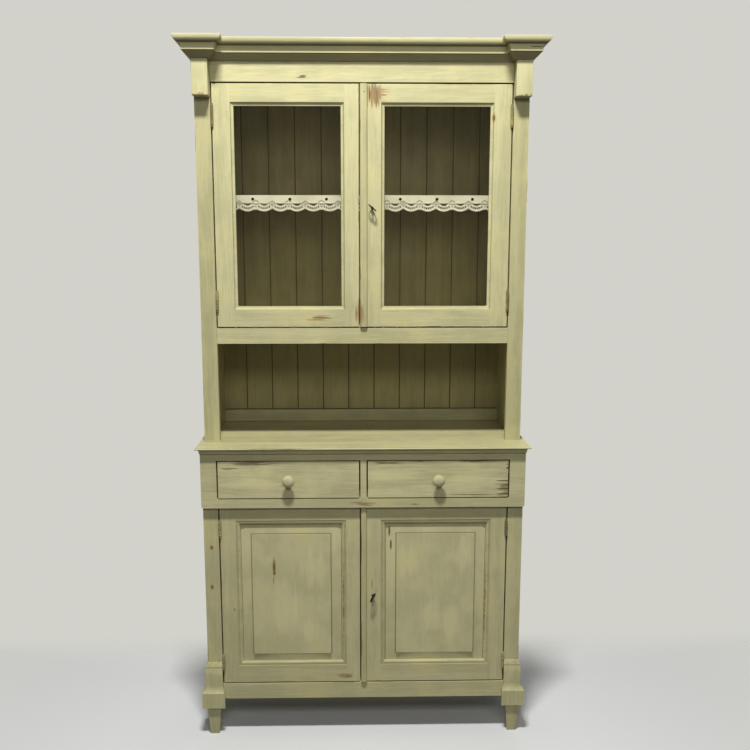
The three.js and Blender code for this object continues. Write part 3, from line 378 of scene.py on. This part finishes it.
for node in ("base_back", "upper_back"):
    eased(node, inside_upright)
for node in ("upper_shelf", "bottom_board", "top_board"):
    eased(node, inside_level)
niche_low, niche_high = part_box("niche_rail")
# Painted shade lines run along the niche rail's top and foot.
rail_paint = painted(
    "dull paint on the niche rail", NICHE_OLIVE, NICHE_SHADE, grain="x",
    crevices=[("Z", edge, 0.0026, 0.8) for edge in (niche_high.z, niche_low.z)])
eased("niche_rail", rail_paint)


def raw_pine(name, grain):
    """Planed pine that was never painted."""
    material, brush = new_finish(name)
    place, drawn = along_grain(brush, grain, None)
    rings = speckle(brush, drawn, 70, detail=3, roughness=0.6)
    pores = speckle(brush, drawn, 500, detail=2)
    wood = over(brush, fade(brush, rings, 0.36, 0.64), shade(*RAW_PINE_DARK), shade(*RAW_PINE))
    wood = over(brush, fade(brush, pores, 0.55, 0.75, high=0.25), wood, shade(*PINE_PORE))
    bump = brush("Bump", {"Strength": 0.3, "Distance": 0.0004, "Height": rings})
    dull = fade(brush, rings, 0.3, 0.7, 0.6, 0.75)
    surface = brush("BsdfPrincipled", {"Base Color": wood, "Roughness": dull, "Normal": bump})
    brush("OutputMaterial", {"Surface": surface})
    return material


raw_level = raw_pine("bare pine with level grain", "x")
raw_deep = raw_pine("bare pine of the drawers", "y")
eased("drawer_deck", raw_level)

# Cornice: one pine moulding, planed as a run and mitred round the two blocks that it breaks forward
# over. It is nailed to the frieze and the sides. A painted shade lies dark in its two quirks, along
# its foot and on its undersides, darker on the caps; a painted highlight makes the cove between them
# paler; and the right cap has a scratch along its nose.
CAP_SCRATCH = [(0.4877, -0.19, 2.0528), (0.022, 0.04, 0.0016)]
# SOFFIT_SHADE darkens the cornice's downward faces: a painted shade.
SOFFIT_SHADE = 0.68
cornice_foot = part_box("cornice_middle")[0].z
# Painted shade in the two quirks and, deeper on the caps, along the cornice's foot.
CORNICE_QUIRK_SHADE = [("Z", cornice_foot + 0.0385, 0.0022, 0.75), ("Z", cornice_foot + 0.0180, 0.0020, 0.75)]
FOOT_BAND = ("Z", cornice_foot + 0.0080, 0.0140)
CORNICE_FOOT_SHADE = 0.50
CAP_FOOT_SHADE = 0.62
# A painted highlight makes the cove's lower part paler.
COVE_PAINTED_HIGHLIGHT = [[(0.0, -0.17, cornice_foot + 0.0270), (FAR_AWAY, 0.2, 0.0110)]]
CORNICE_EASE = 0.0006
cornice_front = painted(
    "brushed paint along the cornice", grain="x", pale=0.003, underside_shade=SOFFIT_SHADE, patches=COVE_PAINTED_HIGHLIGHT,
    crevices=[*CORNICE_QUIRK_SHADE, (*FOOT_BAND, CORNICE_FOOT_SHADE)])
cornice_caps = painted(
    "brushed paint on the cornice caps", grain="x", cracks=[CAP_SCRATCH], pale=0.003, underside_shade=SOFFIT_SHADE,
    patches=COVE_PAINTED_HIGHLIGHT, crevices=[*CORNICE_QUIRK_SHADE, (*FOOT_BAND, CAP_FOOT_SHADE)])
cornice_deep = painted(
    "brushed paint along the cornice sides", grain="y", pale=0.003, underside_shade=SOFFIT_SHADE,
    crevices=[*CORNICE_QUIRK_SHADE, (*FOOT_BAND, CORNICE_FOOT_SHADE)])
eased("cornice_middle", cornice_front, ease=CORNICE_EASE)
for node in ("left_cornice_cap", "right_cornice_cap"):
    eased(node, cornice_caps, ease=CORNICE_EASE)
for node in ("left_cornice_side", "right_cornice_side"):
    eased(node, cornice_deep, ease=CORNICE_EASE)

# Upper doors: pine frames with a small moulding round a single pane. The right door carries the
# strip that covers the gap where the doors meet. The paint is rubbed to the wood at the corner
# beside the strip, on the left door's bottom rail and where hands pull at the strip's foot.
PANE_EDGE = 0.0033
STRIP_RUBBED = [[(-0.0080, -0.12, 1.3100), (0.017, 0.03, 0.050)]]
STRIP_CRACKS = [[(0.0050, -0.12, 1.9393), (0.0024, 0.03, 0.0024)]]
STRIP_EASE = 0.0008
UPPER_RUBBED = [
    [(0.040, -0.116, 1.9320), (0.042, 0.02, 0.038)],
    [(-0.1279, -0.116, 1.2957), (0.038, 0.02, 0.010)],
    *STRIP_RUBBED,
]
UPPER_KNOTS = [[(0.3804, -0.116, 1.8696), (0.0058, 0.02, 0.0170)]]
UPPER_CRACKS = [[(0.0205, -0.116, 1.935), (0.0012, 0.02, 0.024)], *STRIP_CRACKS]
upper_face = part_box("upper_left_door")[0].y
# A painted shade darkens the quirk of the moulding round each pane.
sticking_shade = [("Y", upper_face + 0.0018, 0.0015, 0.5)]
for side in ("left", "right"):
    pane_low, pane_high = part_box(f"upper_{side}_glass")
    frame_paint = painted(
        f"brushed paint on the upper {side} door", rubbed=UPPER_RUBBED, knots=UPPER_KNOTS,
        cracks=UPPER_CRACKS, crevices=sticking_shade,
        rails=(pane_low.x - PANE_EDGE, pane_high.x + PANE_EDGE))
    eased(f"upper_{side}_door", frame_paint)
strip_paint = painted(
    "brushed paint on the strips", DULLED_CREAM, DULLED_OLIVE, arris=0.0070, rubbed=STRIP_RUBBED,
    cracks=STRIP_CRACKS)
eased("upper_strip", strip_paint, ease=STRIP_EASE)
eased("lower_strip", strip_paint, ease=STRIP_EASE)

# Panes: thin window glass with a faint warm tint, set in the rebates of the upper doors. It bends
# what is seen through it, but not the light that passes on to the shelf.
PANE_TINT = (216, 213, 203)
PANE_SHADE = (170, 171, 166)
PANE_BEND = 1.2
glass, brush = new_finish("window glass")
pane = brush("BsdfPrincipled", {
    "Base Color": shade(*PANE_TINT), "Roughness": 0.0, "IOR": PANE_BEND, "Transmission Weight": 1.0})
clear = brush("BsdfTransparent", {"Color": shade(*PANE_SHADE)})
passing = brush("LightPath", {}, output="Is Shadow Ray")
brush("OutputMaterial", {"Surface": brush("MixShader", {0: passing, 1: pane, 2: clear})})
for side in ("left", "right"):
    eased(f"upper_{side}_glass", glass, ease=0)

# Lower doors: heavier pine frames grooved for a raised and fielded panel, with a deeper moulding.
# The paint on the panels is cloudy from a dry brush, and the left one has a long bare knot.
PANEL_EDGE = 0.0073
PANEL_EASE = 0.0005
OCHRE_PINE = (184, 158, 110)
QUIRK_DEPTH = 0.0017
LIP_DEPTH = 0.0090
LOWER_RUBBED = [
    [(-0.0600, -0.194, 0.1880), (0.040, 0.02, 0.009)],
    [(0.3740, -0.187, 0.420), (0.0034, 0.03, 0.170)],
    [(-0.0615, -0.187, 0.420), (0.0034, 0.03, 0.160)],
]
LOWER_CRACKS = [
    [(-0.0530, -0.194, 0.1846), (0.020, 0.02, 0.0008)],
    [(0.0265, -0.194, 0.488), (0.0013, 0.02, 0.020)],
    [(0.0270, -0.194, 0.432), (0.0013, 0.02, 0.006)],
    [(-0.3953, -0.194, 0.4092), (0.0012, 0.02, 0.009)],
    [(-0.3953, -0.194, 0.4092), (0.0050, 0.02, 0.001)],
]
PANEL_KNOT = [(-0.2723, -0.19, 0.5440), (0.0060, 0.03, 0.034)]
PANEL_CRACKS = [
    [(-0.2722, -0.19, 0.5245), (0.0042, 0.03, 0.008)],
    [(-0.2745, -0.19, 0.5010), (0.0012, 0.03, 0.014)],
    [(0.0788, -0.188, 0.6540), (0.0044, 0.03, 0.022)],
    [(0.0832, -0.188, 0.6110), (0.0038, 0.03, 0.019)],
]
PANEL_PATCHES = [
    [(-0.2450, -0.19, 0.4150), (0.040, 0.03, 0.085)],
    [(-0.1650, -0.19, 0.3400), (0.034, 0.03, 0.040)],
    [(-0.1500, -0.19, 0.5300), (0.045, 0.03, 0.060)],
    [(0.2050, -0.19, 0.3950), (0.030, 0.03, 0.060)],
    [(0.2700, -0.19, 0.3500), (0.026, 0.03, 0.060)],
    [(0.3100, -0.19, 0.5800), (0.030, 0.03, 0.070)],
    [(0.1350, -0.19, 0.5600), (0.034, 0.03, 0.050)],
]
# PANEL_FOOT places a painted shade along the foot of the field's step.
PANEL_FOOT = 0.0024
PANEL_CREAM = (203, 198, 155)
PANEL_OLIVE = (190, 186, 144)
panel_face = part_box("lower_left_panel")[0].y
panel_paint = painted(
    "cloudy paint on the panels", PANEL_CREAM, PANEL_OLIVE, knots=[PANEL_KNOT], cracks=PANEL_CRACKS,
    brushed=0.25, patches=PANEL_PATCHES, crevices=[("Y", panel_face + PANEL_FOOT, 0.0016, 0.75)])
lower_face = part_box("lower_left_door")[0].y
# A painted shade darkens the moulding's quirk and lip.
moulding_shade = [("Y", lower_face + QUIRK_DEPTH, 0.0006, 0.3), ("Y", lower_face + LIP_DEPTH, 0.0012, 0.7)]
for side in ("left", "right"):
    panel_low, panel_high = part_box(f"lower_{side}_panel")
    frame_paint = painted(
        f"brushed paint on the lower {side} door", rubbed=LOWER_RUBBED, cracks=LOWER_CRACKS,
        crevices=moulding_shade, bare=OCHRE_PINE,
        rails=(panel_low.x - PANEL_EDGE, panel_high.x + PANEL_EDGE))
    eased(f"lower_{side}_door", frame_paint)
    eased(f"lower_{side}_panel", panel_paint, ease=PANEL_EASE)

# Drawers: a painted front on a bare pine box that runs on the deck. The fronts are worn along
# their upper edges and split at the ends, where dry pine has opened along the grain.
DRAWER_RUBBED = [
    [(-0.3400, -0.211, 0.8710), (0.100, 0.02, 0.009)],
    [(0.4300, -0.211, 0.7945), (0.036, 0.02, 0.026)],
    [(0.0600, -0.211, 0.8700), (0.060, 0.02, 0.005)],
    [(0.3600, -0.211, 0.8750), (0.080, 0.02, 0.004)],
]
DRAWER_CRACKS = [
    [(-0.3990, -0.211, 0.8570), (0.030, 0.02, 0.0014)],
    [(-0.4040, -0.211, 0.8535), (0.016, 0.02, 0.0010)],
    [(0.3300, -0.211, 0.7735), (0.080, 0.02, 0.0012)],
    [(0.4330, -0.211, 0.8155), (0.040, 0.02, 0.0026)],
    [(0.4330, -0.211, 0.8040), (0.020, 0.02, 0.0018)],
    [(0.4330, -0.211, 0.7913), (0.044, 0.02, 0.0032)],
    [(0.4330, -0.211, 0.7750), (0.044, 0.02, 0.0030)],
    [(0.4340, -0.211, 0.8550), (0.008, 0.02, 0.0040)],
    [(0.4340, -0.211, 0.8660), (0.010, 0.02, 0.0020)],
    [(0.4345, -0.211, 0.8200), (0.0028, 0.02, 0.0550)],
]
DRAWER_CREAM = (207, 202, 158)
DRAWER_PATCHES = [
    [(0.3300, -0.211, 0.8240), (0.110, 0.02, 0.026)],
    [(0.1000, -0.211, 0.8350), (0.070, 0.02, 0.020)],
    [(-0.3100, -0.211, 0.8100), (0.080, 0.02, 0.014)],
]
BOX_EASE = 0.0008
drawer_paint = painted(
    "brushed paint on the drawer fronts", DRAWER_CREAM, grain="x", rubbed=DRAWER_RUBBED,
    cracks=DRAWER_CRACKS, arris=0.0036, bare=GREYED_PINE, patches=DRAWER_PATCHES)
for side in ("left", "right"):
    eased(f"{side}_drawer_front", drawer_paint)
    eased(f"{side}_drawer_box", raw_deep, ease=BOX_EASE)

# Knobs: turned in one piece with a waisted neck and a flattened ball, and painted a paler cream
# that has yellowed to brown round the neck.
KNOB_CREAM = (188, 183, 142)
KNOB_NECK = (150, 138, 92)
CHIPPED_PINE = (118, 90, 58)
NECK_START = 0.55
KNOB_STEPS = 32
KNOB_SHARES = [
    (0.6, 0), (0.6, 0.07), (0.46, 0.14), (0.41, 0.3), (0.46, 0.44), (0.72, 0.5), (0.93, 0.58),
    (1, 0.69), (0.94, 0.81), (0.72, 0.91), (0.4, 0.975), (0.0, 1.0),
]


def knob_paint():
    """Smooth cream paint, yellowed to brown towards the neck and chipped in a few places."""
    material, brush = new_finish("cream paint on the knobs")
    place = brush("TexCoord", {}, output="Object")
    smear = speckle(brush, place, 90, detail=3)
    chips = speckle(brush, place, 260, detail=2)
    coat = over(brush, fade(brush, smear, 0.4, 0.7), shade(*KNOB_CREAM), shade(*BRUSHED_CREAM))
    depth = brush("SeparateXYZ", {0: place}, output="Y")
    low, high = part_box("left_knob")
    neck = fade(brush, depth, low.y + NECK_START * (high.y - low.y), high.y, high=0.8)
    coat = over(brush, neck, coat, shade(*KNOB_NECK))
    coat = over(brush, fade(brush, chips, 0.70, 0.74), coat, shade(*CHIPPED_PINE))
    bump = brush("Bump", {"Strength": 0.35, "Distance": 0.0005, "Height": smear})
    surface = brush("BsdfPrincipled", {"Base Color": coat, "Roughness": 0.38, "Normal": bump})
    brush("OutputMaterial", {"Surface": surface})
    return material


def shown(name, mesh, finish, body):
    """Gives a finished mesh to the cupboard."""
    mesh.materials.append(finish)
    piece = bpy.data.objects.new(name, mesh)
    bpy.context.scene.collection.objects.link(piece)
    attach(piece, body)
    return piece


def as_mesh(name, solid):
    """Closes a bmesh into a smooth mesh whose faces point outwards."""
    bmesh.ops.remove_doubles(solid, verts=solid.verts, dist=MERGE_REACH)
    bmesh.ops.recalc_face_normals(solid, faces=solid.faces)
    for face in solid.faces:
        face.smooth = True
    mesh = bpy.data.meshes.new(name)
    solid.to_mesh(mesh)
    solid.free()
    return mesh


def turned(name, outline, middle):
    """A turning about an axis along Y, from (radius, y) pairs."""
    solid = bmesh.new()
    points = [solid.verts.new((middle.x + radius, y, middle.z)) for radius, y in outline]
    edges = [solid.edges.new(pair) for pair in zip(points, points[1:])]
    bmesh.ops.spin(
        solid, geom=points + edges, cent=middle, axis=(0, 1, 0), angle=math.tau, steps=KNOB_STEPS,
        use_merge=True)
    return as_mesh(name, solid)


cream_knob = knob_paint()
for side in ("left", "right"):
    low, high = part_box(f"{side}_knob")
    outline = [(r * (high.x - low.x) / 2, high.y - share * (high.y - low.y)) for r, share in KNOB_SHARES]
    outline = [(0.0, high.y), *outline]
    mesh = turned(f"{side}_turned_knob", outline, (low + high) / 2)
    knob = shown(f"{side}_turned_knob", mesh, cream_knob, f"{side}_drawer")
    rounding = knob.modifiers.new("rounding", "SUBSURF")
    rounding.levels = 2
    rounding.render_levels = 2
    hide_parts(f"{side}_knob")

# Hinges: iron knuckles with ball tips, screwed to the doors and painted over with them. The paint
# has gone thin and brown, and a dark line shows in each barrel where its two knuckles part.
HINGE_PAINT = (168, 160, 118)
HINGE_SHADE = (98, 84, 54)
KNUCKLE_JOINT = 0.0012
HINGE_EASE = 0.0004
hinge_joints = []
for tier in ("upper", "lower"):
    for end in ("top", "bottom"):
        low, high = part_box(f"{tier}_left_{end}_hinge")
        hinge_joints.append(("Z", (low.z + high.z) / 2, KNUCKLE_JOINT, 0.9))
hinge_finish = painted(
    "paint over the hinges", HINGE_PAINT, HINGE_SHADE, arris=0.0012, crevices=hinge_joints)
for tier in ("upper", "lower"):
    for side in ("left", "right"):
        for end in ("top", "bottom"):
            eased(f"{tier}_{side}_{end}_hinge", hinge_finish, ease=HINGE_EASE)

# Locks and bolts: iron rim locks on the backs of the right doors, worked by keys left in their
# holes, and flat slide bolts behind the left doors. The iron is brown with old rust and wax.
IRON = (32, 28, 23)
IRON_RUST = (60, 43, 30)
IRON_EASE = 0.0004
KEY_EASE = 0.0006


def dark_iron():
    """Forged iron, brown and dull where it has rusted."""
    material, brush = new_finish("browned iron")
    place = brush("TexCoord", {}, output="Object")
    cloud = speckle(brush, place, 140, detail=4, roughness=0.6)
    pits = speckle(brush, place, 900, detail=2)
    skin = over(brush, fade(brush, cloud, 0.5, 0.72, high=0.8), shade(*IRON), shade(*IRON_RUST))
    relief = sum_of(brush, "MULTIPLY_ADD", pits, 0.5, cloud)
    bump = brush("Bump", {"Strength": 0.4, "Distance": 0.0003, "Height": relief})
    dull = fade(brush, cloud, 0.4, 0.75, 0.5, 0.75)
    bright = fade(brush, cloud, 0.45, 0.7, 0.4, 0.05)
    surface = brush("BsdfPrincipled", {
        "Base Color": skin, "Metallic": bright, "Roughness": dull, "Normal": bump})
    brush("OutputMaterial", {"Surface": surface})
    return material


iron = dark_iron()
for tier in ("upper", "lower"):
    for part in ("lock_case", "lock_bolt", "left_bolt"):
        eased(f"{tier}_{part}", iron, ease=IRON_EASE)
    eased(f"{tier}_key", iron, ease=KEY_EASE)

# Lace edging: a machine made cotton lace pinned along the shelf's front edge. It has a close band
# above and pairs of scallops below, each with an eye, a ladder of small holes and a corded hem.
# Its pattern is laid out across in scallops and down in shares of the drop.
LACE_CREAM = (246, 247, 236)
LACE_SHADE = (228, 226, 208)
SCALLOPS = 19
WEAVE = 0.0005
CORD = 0.0010
THREAD = 0.0004
BAND_STITCH = 0.13
CUSP = 0.80
SCALLOP_SAG = 0.19
CUSP_SLOPE = 0.7
BUMP_LEFT = 0.93
BUMP_RIGHT = 0.07
BUMP_DROP = 0.05
BUMP_SAG = 0.055
EYE_LEFT = (0.21, 0.48)
EYE_RIGHT = (0.79, 0.48)
RIB_LEFT = (0.17, 0.46)
RIB_RIGHT = (0.83, 0.46)
RIB_SAG = 0.275
LADDER_HOLES = 6
PEAK_PAIRED = 0.32
PEAK_BETWEEN = 0.37
CLOTH_FACING = 0.99
CORD_FACET = 0.00001
lace_low, lace_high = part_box("lace_edging")
lace_y = (lace_low.y + lace_high.y) / 2
lace_width = lace_high.x - lace_low.x
lace_drop = lace_high.z - lace_low.z
pitch = lace_width / SCALLOPS


def cotton():
    """Cream cotton yarn, a little yellowed, with a fine twist."""
    material, brush = new_finish("cream cotton")
    place = brush("TexCoord", {}, output="Object")
    yellowing = speckle(brush, place, 14, detail=3)
    twist = speckle(brush, place, 1400, detail=2)
    yarn = over(brush, fade(brush, yellowing, 0.4, 0.7), shade(*LACE_CREAM), shade(*LACE_SHADE))
    bump = brush("Bump", {"Strength": 0.5, "Distance": 0.0003, "Height": twist})
    surface = brush("BsdfPrincipled", {
        "Base Color": yarn, "Roughness": 0.9, "Sheen Weight": 0.25, "Normal": bump})
    brush("OutputMaterial", {"Surface": surface})
    return material


def arc(left, right, sag, steps=12):
    """(across, down) pairs along a sagging arc."""
    pairs = []
    for i in range(steps + 1):
        share = i / steps
        drop = sag * 4 * share * (1 - share)
        across, down = (start + (end - start) * share for start, end in zip(left, right))
        pairs.append((across, down + drop))
    return pairs


def hole(across, down, half_across, half_down):
    """A small four sided hole."""
    left, right = across - half_across, across + half_across
    top, bottom = down - half_down, down + half_down
    return [(left, top), (right, top), (right, bottom), (left, bottom)]


def scallop_holes(paired):
    """The holes in one scallop and in the filler at its left, which differs in every other one."""
    holes = [arc(EYE_LEFT, EYE_RIGHT, 0.05) + arc(EYE_RIGHT, EYE_LEFT, 0.20)[1:-1]]
    for i in range(LADDER_HOLES):
        share = (i + 0.5) / LADDER_HOLES
        drop = 4 * share * (1 - share)
        holes.append(hole(0.12 + 0.76 * share, 0.685 + 0.15 * drop, 0.044, 0.062))
    for across in (0.17, 0.83):
        holes.append(hole(across, 0.56, 0.028, 0.040))
    peak = PEAK_PAIRED if paired else PEAK_BETWEEN
    for step in (-2, -1, 0, 1, 2):
        holes.append(hole(0.075 * step, peak + 0.05 * abs(step), 0.034, 0.036))
    if paired:
        holes.append([(-0.055, 0.755), (0.0, 0.655), (0.055, 0.755)])
        for across in (-0.06, 0.06):
            holes.append(hole(across, 0.575, 0.030, 0.055))
    else:
        for across, down in ((0.0, 0.50), (-0.06, 0.59), (0.06, 0.59), (0.0, 0.68)):
            holes.append(hole(across, down, 0.030, 0.040))
    return holes


def lace_hem():
    """The outline of the whole piece: straight above, and scalloped with a small bump at every pair."""
    outline = [(0.0, 0.0), (0.0, CUSP)]
    for scallop in range(SCALLOPS):
        start = BUMP_RIGHT if scallop % 2 else 0.0
        end = BUMP_LEFT if scallop % 2 == 0 and scallop < SCALLOPS - 1 else 1.0
        left = (start, CUSP + CUSP_SLOPE * start)
        right = (end, CUSP + CUSP_SLOPE * (1 - end))
        pairs = arc(left, right, SCALLOP_SAG, 16)[1:]
        if end < 1.0:
            pairs += arc((end, CUSP + BUMP_DROP), (1 + BUMP_RIGHT, CUSP + BUMP_DROP), BUMP_SAG, 4)[1:]
        outline += [(scallop + across, down) for across, down in pairs]
    return [*outline, (SCALLOPS, 0.0)]


def make_lace():
    """A cut and filled outline with thickness, with cords laid over its hem and round its eyes."""
    cloth = bpy.data.curves.new("lace_cloth", "CURVE")
    cloth.dimensions = "2D"
    cloth.fill_mode = "BOTH"
    cloth.extrude = WEAVE / 2
    loops = [lace_hem()]
    for scallop in range(SCALLOPS):
        for pairs in scallop_holes(scallop % 2 == 1):
            inside = [(scallop + across, down) for across, down in pairs]
            if min(inside)[0] > 0:
                loops.append(inside)
    cords = bpy.data.curves.new("lace_cords", "CURVE")
    cords.dimensions = "2D"
    cords.fill_mode = "NONE"
    cords.bevel_depth = 1.0
    cords.bevel_resolution = 1
    cords.use_fill_caps = True
    lines = [(CORD, loops[0][1:-1]), (THREAD, [(0.0, BAND_STITCH), (SCALLOPS, BAND_STITCH)])]
    for scallop in range(SCALLOPS):
        rib = arc(RIB_LEFT, RIB_RIGHT, RIB_SAG)
        lines.append((CORD, [(scallop + across, down) for across, down in rib]))
    for owner, runs, closed in ((cloth, [(1.0, loop) for loop in loops], True), (cords, lines, False)):
        for half, pairs in runs:
            spline = owner.splines.new("POLY")
            spline.use_cyclic_u = closed
            spline.points.add(len(pairs) - 1)
            for point, (across, down) in zip(spline.points, pairs):
                point.co = (lace_low.x + across * pitch, lace_high.z - down * lace_drop, 0, 1)
                point.radius = half
    solid = bmesh.new()
    for curve in (cloth, cords):
        carrier = bpy.data.objects.new(curve.name, curve)
        bpy.context.scene.collection.objects.link(carrier)
        bpy.context.view_layer.update()
        depsgraph = bpy.context.evaluated_depsgraph_get()
        mesh = bpy.data.meshes.new_from_object(carrier.evaluated_get(depsgraph))
        bpy.data.objects.remove(carrier)
        solid.from_mesh(mesh)
        bpy.data.meshes.remove(mesh)
    upright_turn = Matrix.Rotation(math.pi / 2, 3, "X")
    bmesh.ops.rotate(solid, cent=(0, 0, 0), matrix=upright_turn, verts=solid.verts)
    bmesh.ops.translate(solid, vec=(0, lace_y, 0), verts=solid.verts)
    mesh = as_mesh("cotton_lace_edging", solid)
    for polygon in mesh.polygons:
        polygon.use_smooth = abs(polygon.normal.y) < CLOTH_FACING and polygon.area < CORD_FACET
    return mesh


lace = shown("cotton_lace_edging", make_lace(), cotton(), "root")
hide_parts("lace_edging")

# Drawing pins: small domed iron heads that hold the lace's band to the shelf, pushed in by hand and
# spaced by eye.
PIN_X = (-0.432, -0.3247, -0.2148, -0.1066, 0.003, 0.1128, 0.2218, 0.3274, 0.432)
PIN_RADIUS = 0.0045
PIN_DOME = 0.0018
PIN_DROP = 0.0115
PIN_SEGMENTS = 16
PIN_RINGS = 8
pins = bmesh.new()
for x in PIN_X:
    head = bmesh.ops.create_uvsphere(
        pins, u_segments=PIN_SEGMENTS, v_segments=PIN_RINGS, radius=PIN_RADIUS)["verts"]
    bmesh.ops.scale(pins, vec=(1, PIN_DOME / PIN_RADIUS, 1), verts=head)
    bmesh.ops.translate(pins, vec=(x, lace_low.y, lace_high.z - PIN_DROP), verts=head)
pin_heads = shown("drawing_pins", as_mesh("drawing_pins", pins), iron, "root")

# Studio: a plain pale floor that fades into a pale surround. A small lamp high in front throws the
# steep shade of the counter and rails, a broad one further off softens it, one behind lights the
# back, and a little light comes from all round.
FLOOR_COLOUR = (233, 235, 237)
FLOOR_BOUNCE = (120, 119, 114)
FLOOR_REACH = 4.0
FADE_AROUND = (0.7, 2.0)
FADE_BEHIND = (0.2, 0.6)
SURROUND = (210, 210, 203)
FILL_LIGHT = (250, 250, 246)
FILL_STRENGTH = 0.045
LAMP_WHITE = (1.0, 0.99, 0.96)
LAMPS = [  # each with its place, what it points at, its size and its watts
    ("high lamp", (-0.12, -1.5, 3.75), (0, -0.1, 1.1), (0.5, 0.25), 104),
    ("front lamp", (0.2, -3.8, 2.85), (0, -0.1, 1.0), (1.8, 0.8), 40),
    ("back lamp", (0.4, 3.6, 2.3), (0, 0.2, 1.1), (2.6, 1.6), 34),
]


def looked_at(brush):
    """1 where a surface is seen, mirrored or seen through the panes, and 0 where it only gives light."""
    seen = brush("LightPath", {}, output="Is Camera Ray")
    mirrored = brush("LightPath", {}, output="Is Glossy Ray")
    through = brush("LightPath", {}, output="Is Transmission Ray")
    return sum_of(brush, "MAXIMUM", sum_of(brush, "MAXIMUM", seen, mirrored), through)


floor_shape = bmesh.new()
bmesh.ops.create_circle(floor_shape, cap_ends=True, segments=96, radius=FLOOR_REACH)
floor_mesh = as_mesh("floor", floor_shape)
floor_finish, brush = new_finish("pale floor")
place = brush("TexCoord", {}, output="Object")
away = brush("VectorMath", {0: place}, output="Value", operation="LENGTH")
tone = over(brush, looked_at(brush), shade(*FLOOR_BOUNCE), shade(*FLOOR_COLOUR))
matt = brush("BsdfPrincipled", {"Base Color": tone, "Roughness": 0.7})
beyond = brush("BsdfTransparent", {})
behind = fade(brush, brush("SeparateXYZ", {0: place}, output="Y"), *FADE_BEHIND)
gone = sum_of(brush, "MAXIMUM", fade(brush, away, *FADE_AROUND), behind)
brush("OutputMaterial", {"Surface": brush("MixShader", {0: gone, 1: matt, 2: beyond})})
floor_mesh.materials.append(floor_finish)
floor = bpy.data.objects.new("floor", floor_mesh)
bpy.context.scene.collection.objects.link(floor)

world = bpy.data.worlds.new("studio")
bpy.context.scene.world = world
world.use_nodes = True
brush = brush_on(world.node_tree)
fill = brush("Background", {"Color": shade(*FILL_LIGHT), "Strength": FILL_STRENGTH})
backdrop = brush("Background", {"Color": shade(*SURROUND), "Strength": 1.0})
brush("OutputWorld", {"Surface": brush("MixShader", {0: looked_at(brush), 1: fill, 2: backdrop})})

for name, place, target, size, watts in LAMPS:
    light = bpy.data.lights.new(name, "AREA")
    light.shape = "RECTANGLE"
    light.size, light.size_y = size
    light.energy = watts
    light.color = LAMP_WHITE
    lamp = bpy.data.objects.new(name, light)
    lamp.visible_camera = False
    lamp.visible_glossy = False
    aim = (Vector(target) - Vector(place)).to_track_quat("-Z", "Y")
    lamp.matrix_world = Matrix.Translation(place) @ aim.to_matrix().to_4x4()
    bpy.context.scene.collection.objects.link(lamp)

# Camera: about 1.5 m above the floor and three metres in front of the cupboard, tipped down by ten
# degrees, as the photo was taken.
CAMERA_PLACE = (-0.0421, -2.9656, 1.5043)
CAMERA_YAW = -1.3289
CAMERA_TIP = 90 - 10.385
CAMERA_LENS = 45.635
CAMERA_SHIFT = (0.0056, 0.0610)
camera_data = bpy.data.cameras.new("camera")
camera_data.lens = CAMERA_LENS
camera_data.shift_x, camera_data.shift_y = CAMERA_SHIFT
camera = bpy.data.objects.new("camera", camera_data)
yaw = Matrix.Rotation(math.radians(CAMERA_YAW), 4, "Z")
tip = Matrix.Rotation(math.radians(CAMERA_TIP), 4, "X")
camera.matrix_world = Matrix.Translation(CAMERA_PLACE) @ yaw @ tip
bpy.context.scene.collection.objects.link(camera)
bpy.context.scene.camera = camera
bpy.context.scene.view_settings.view_transform = "Standard"
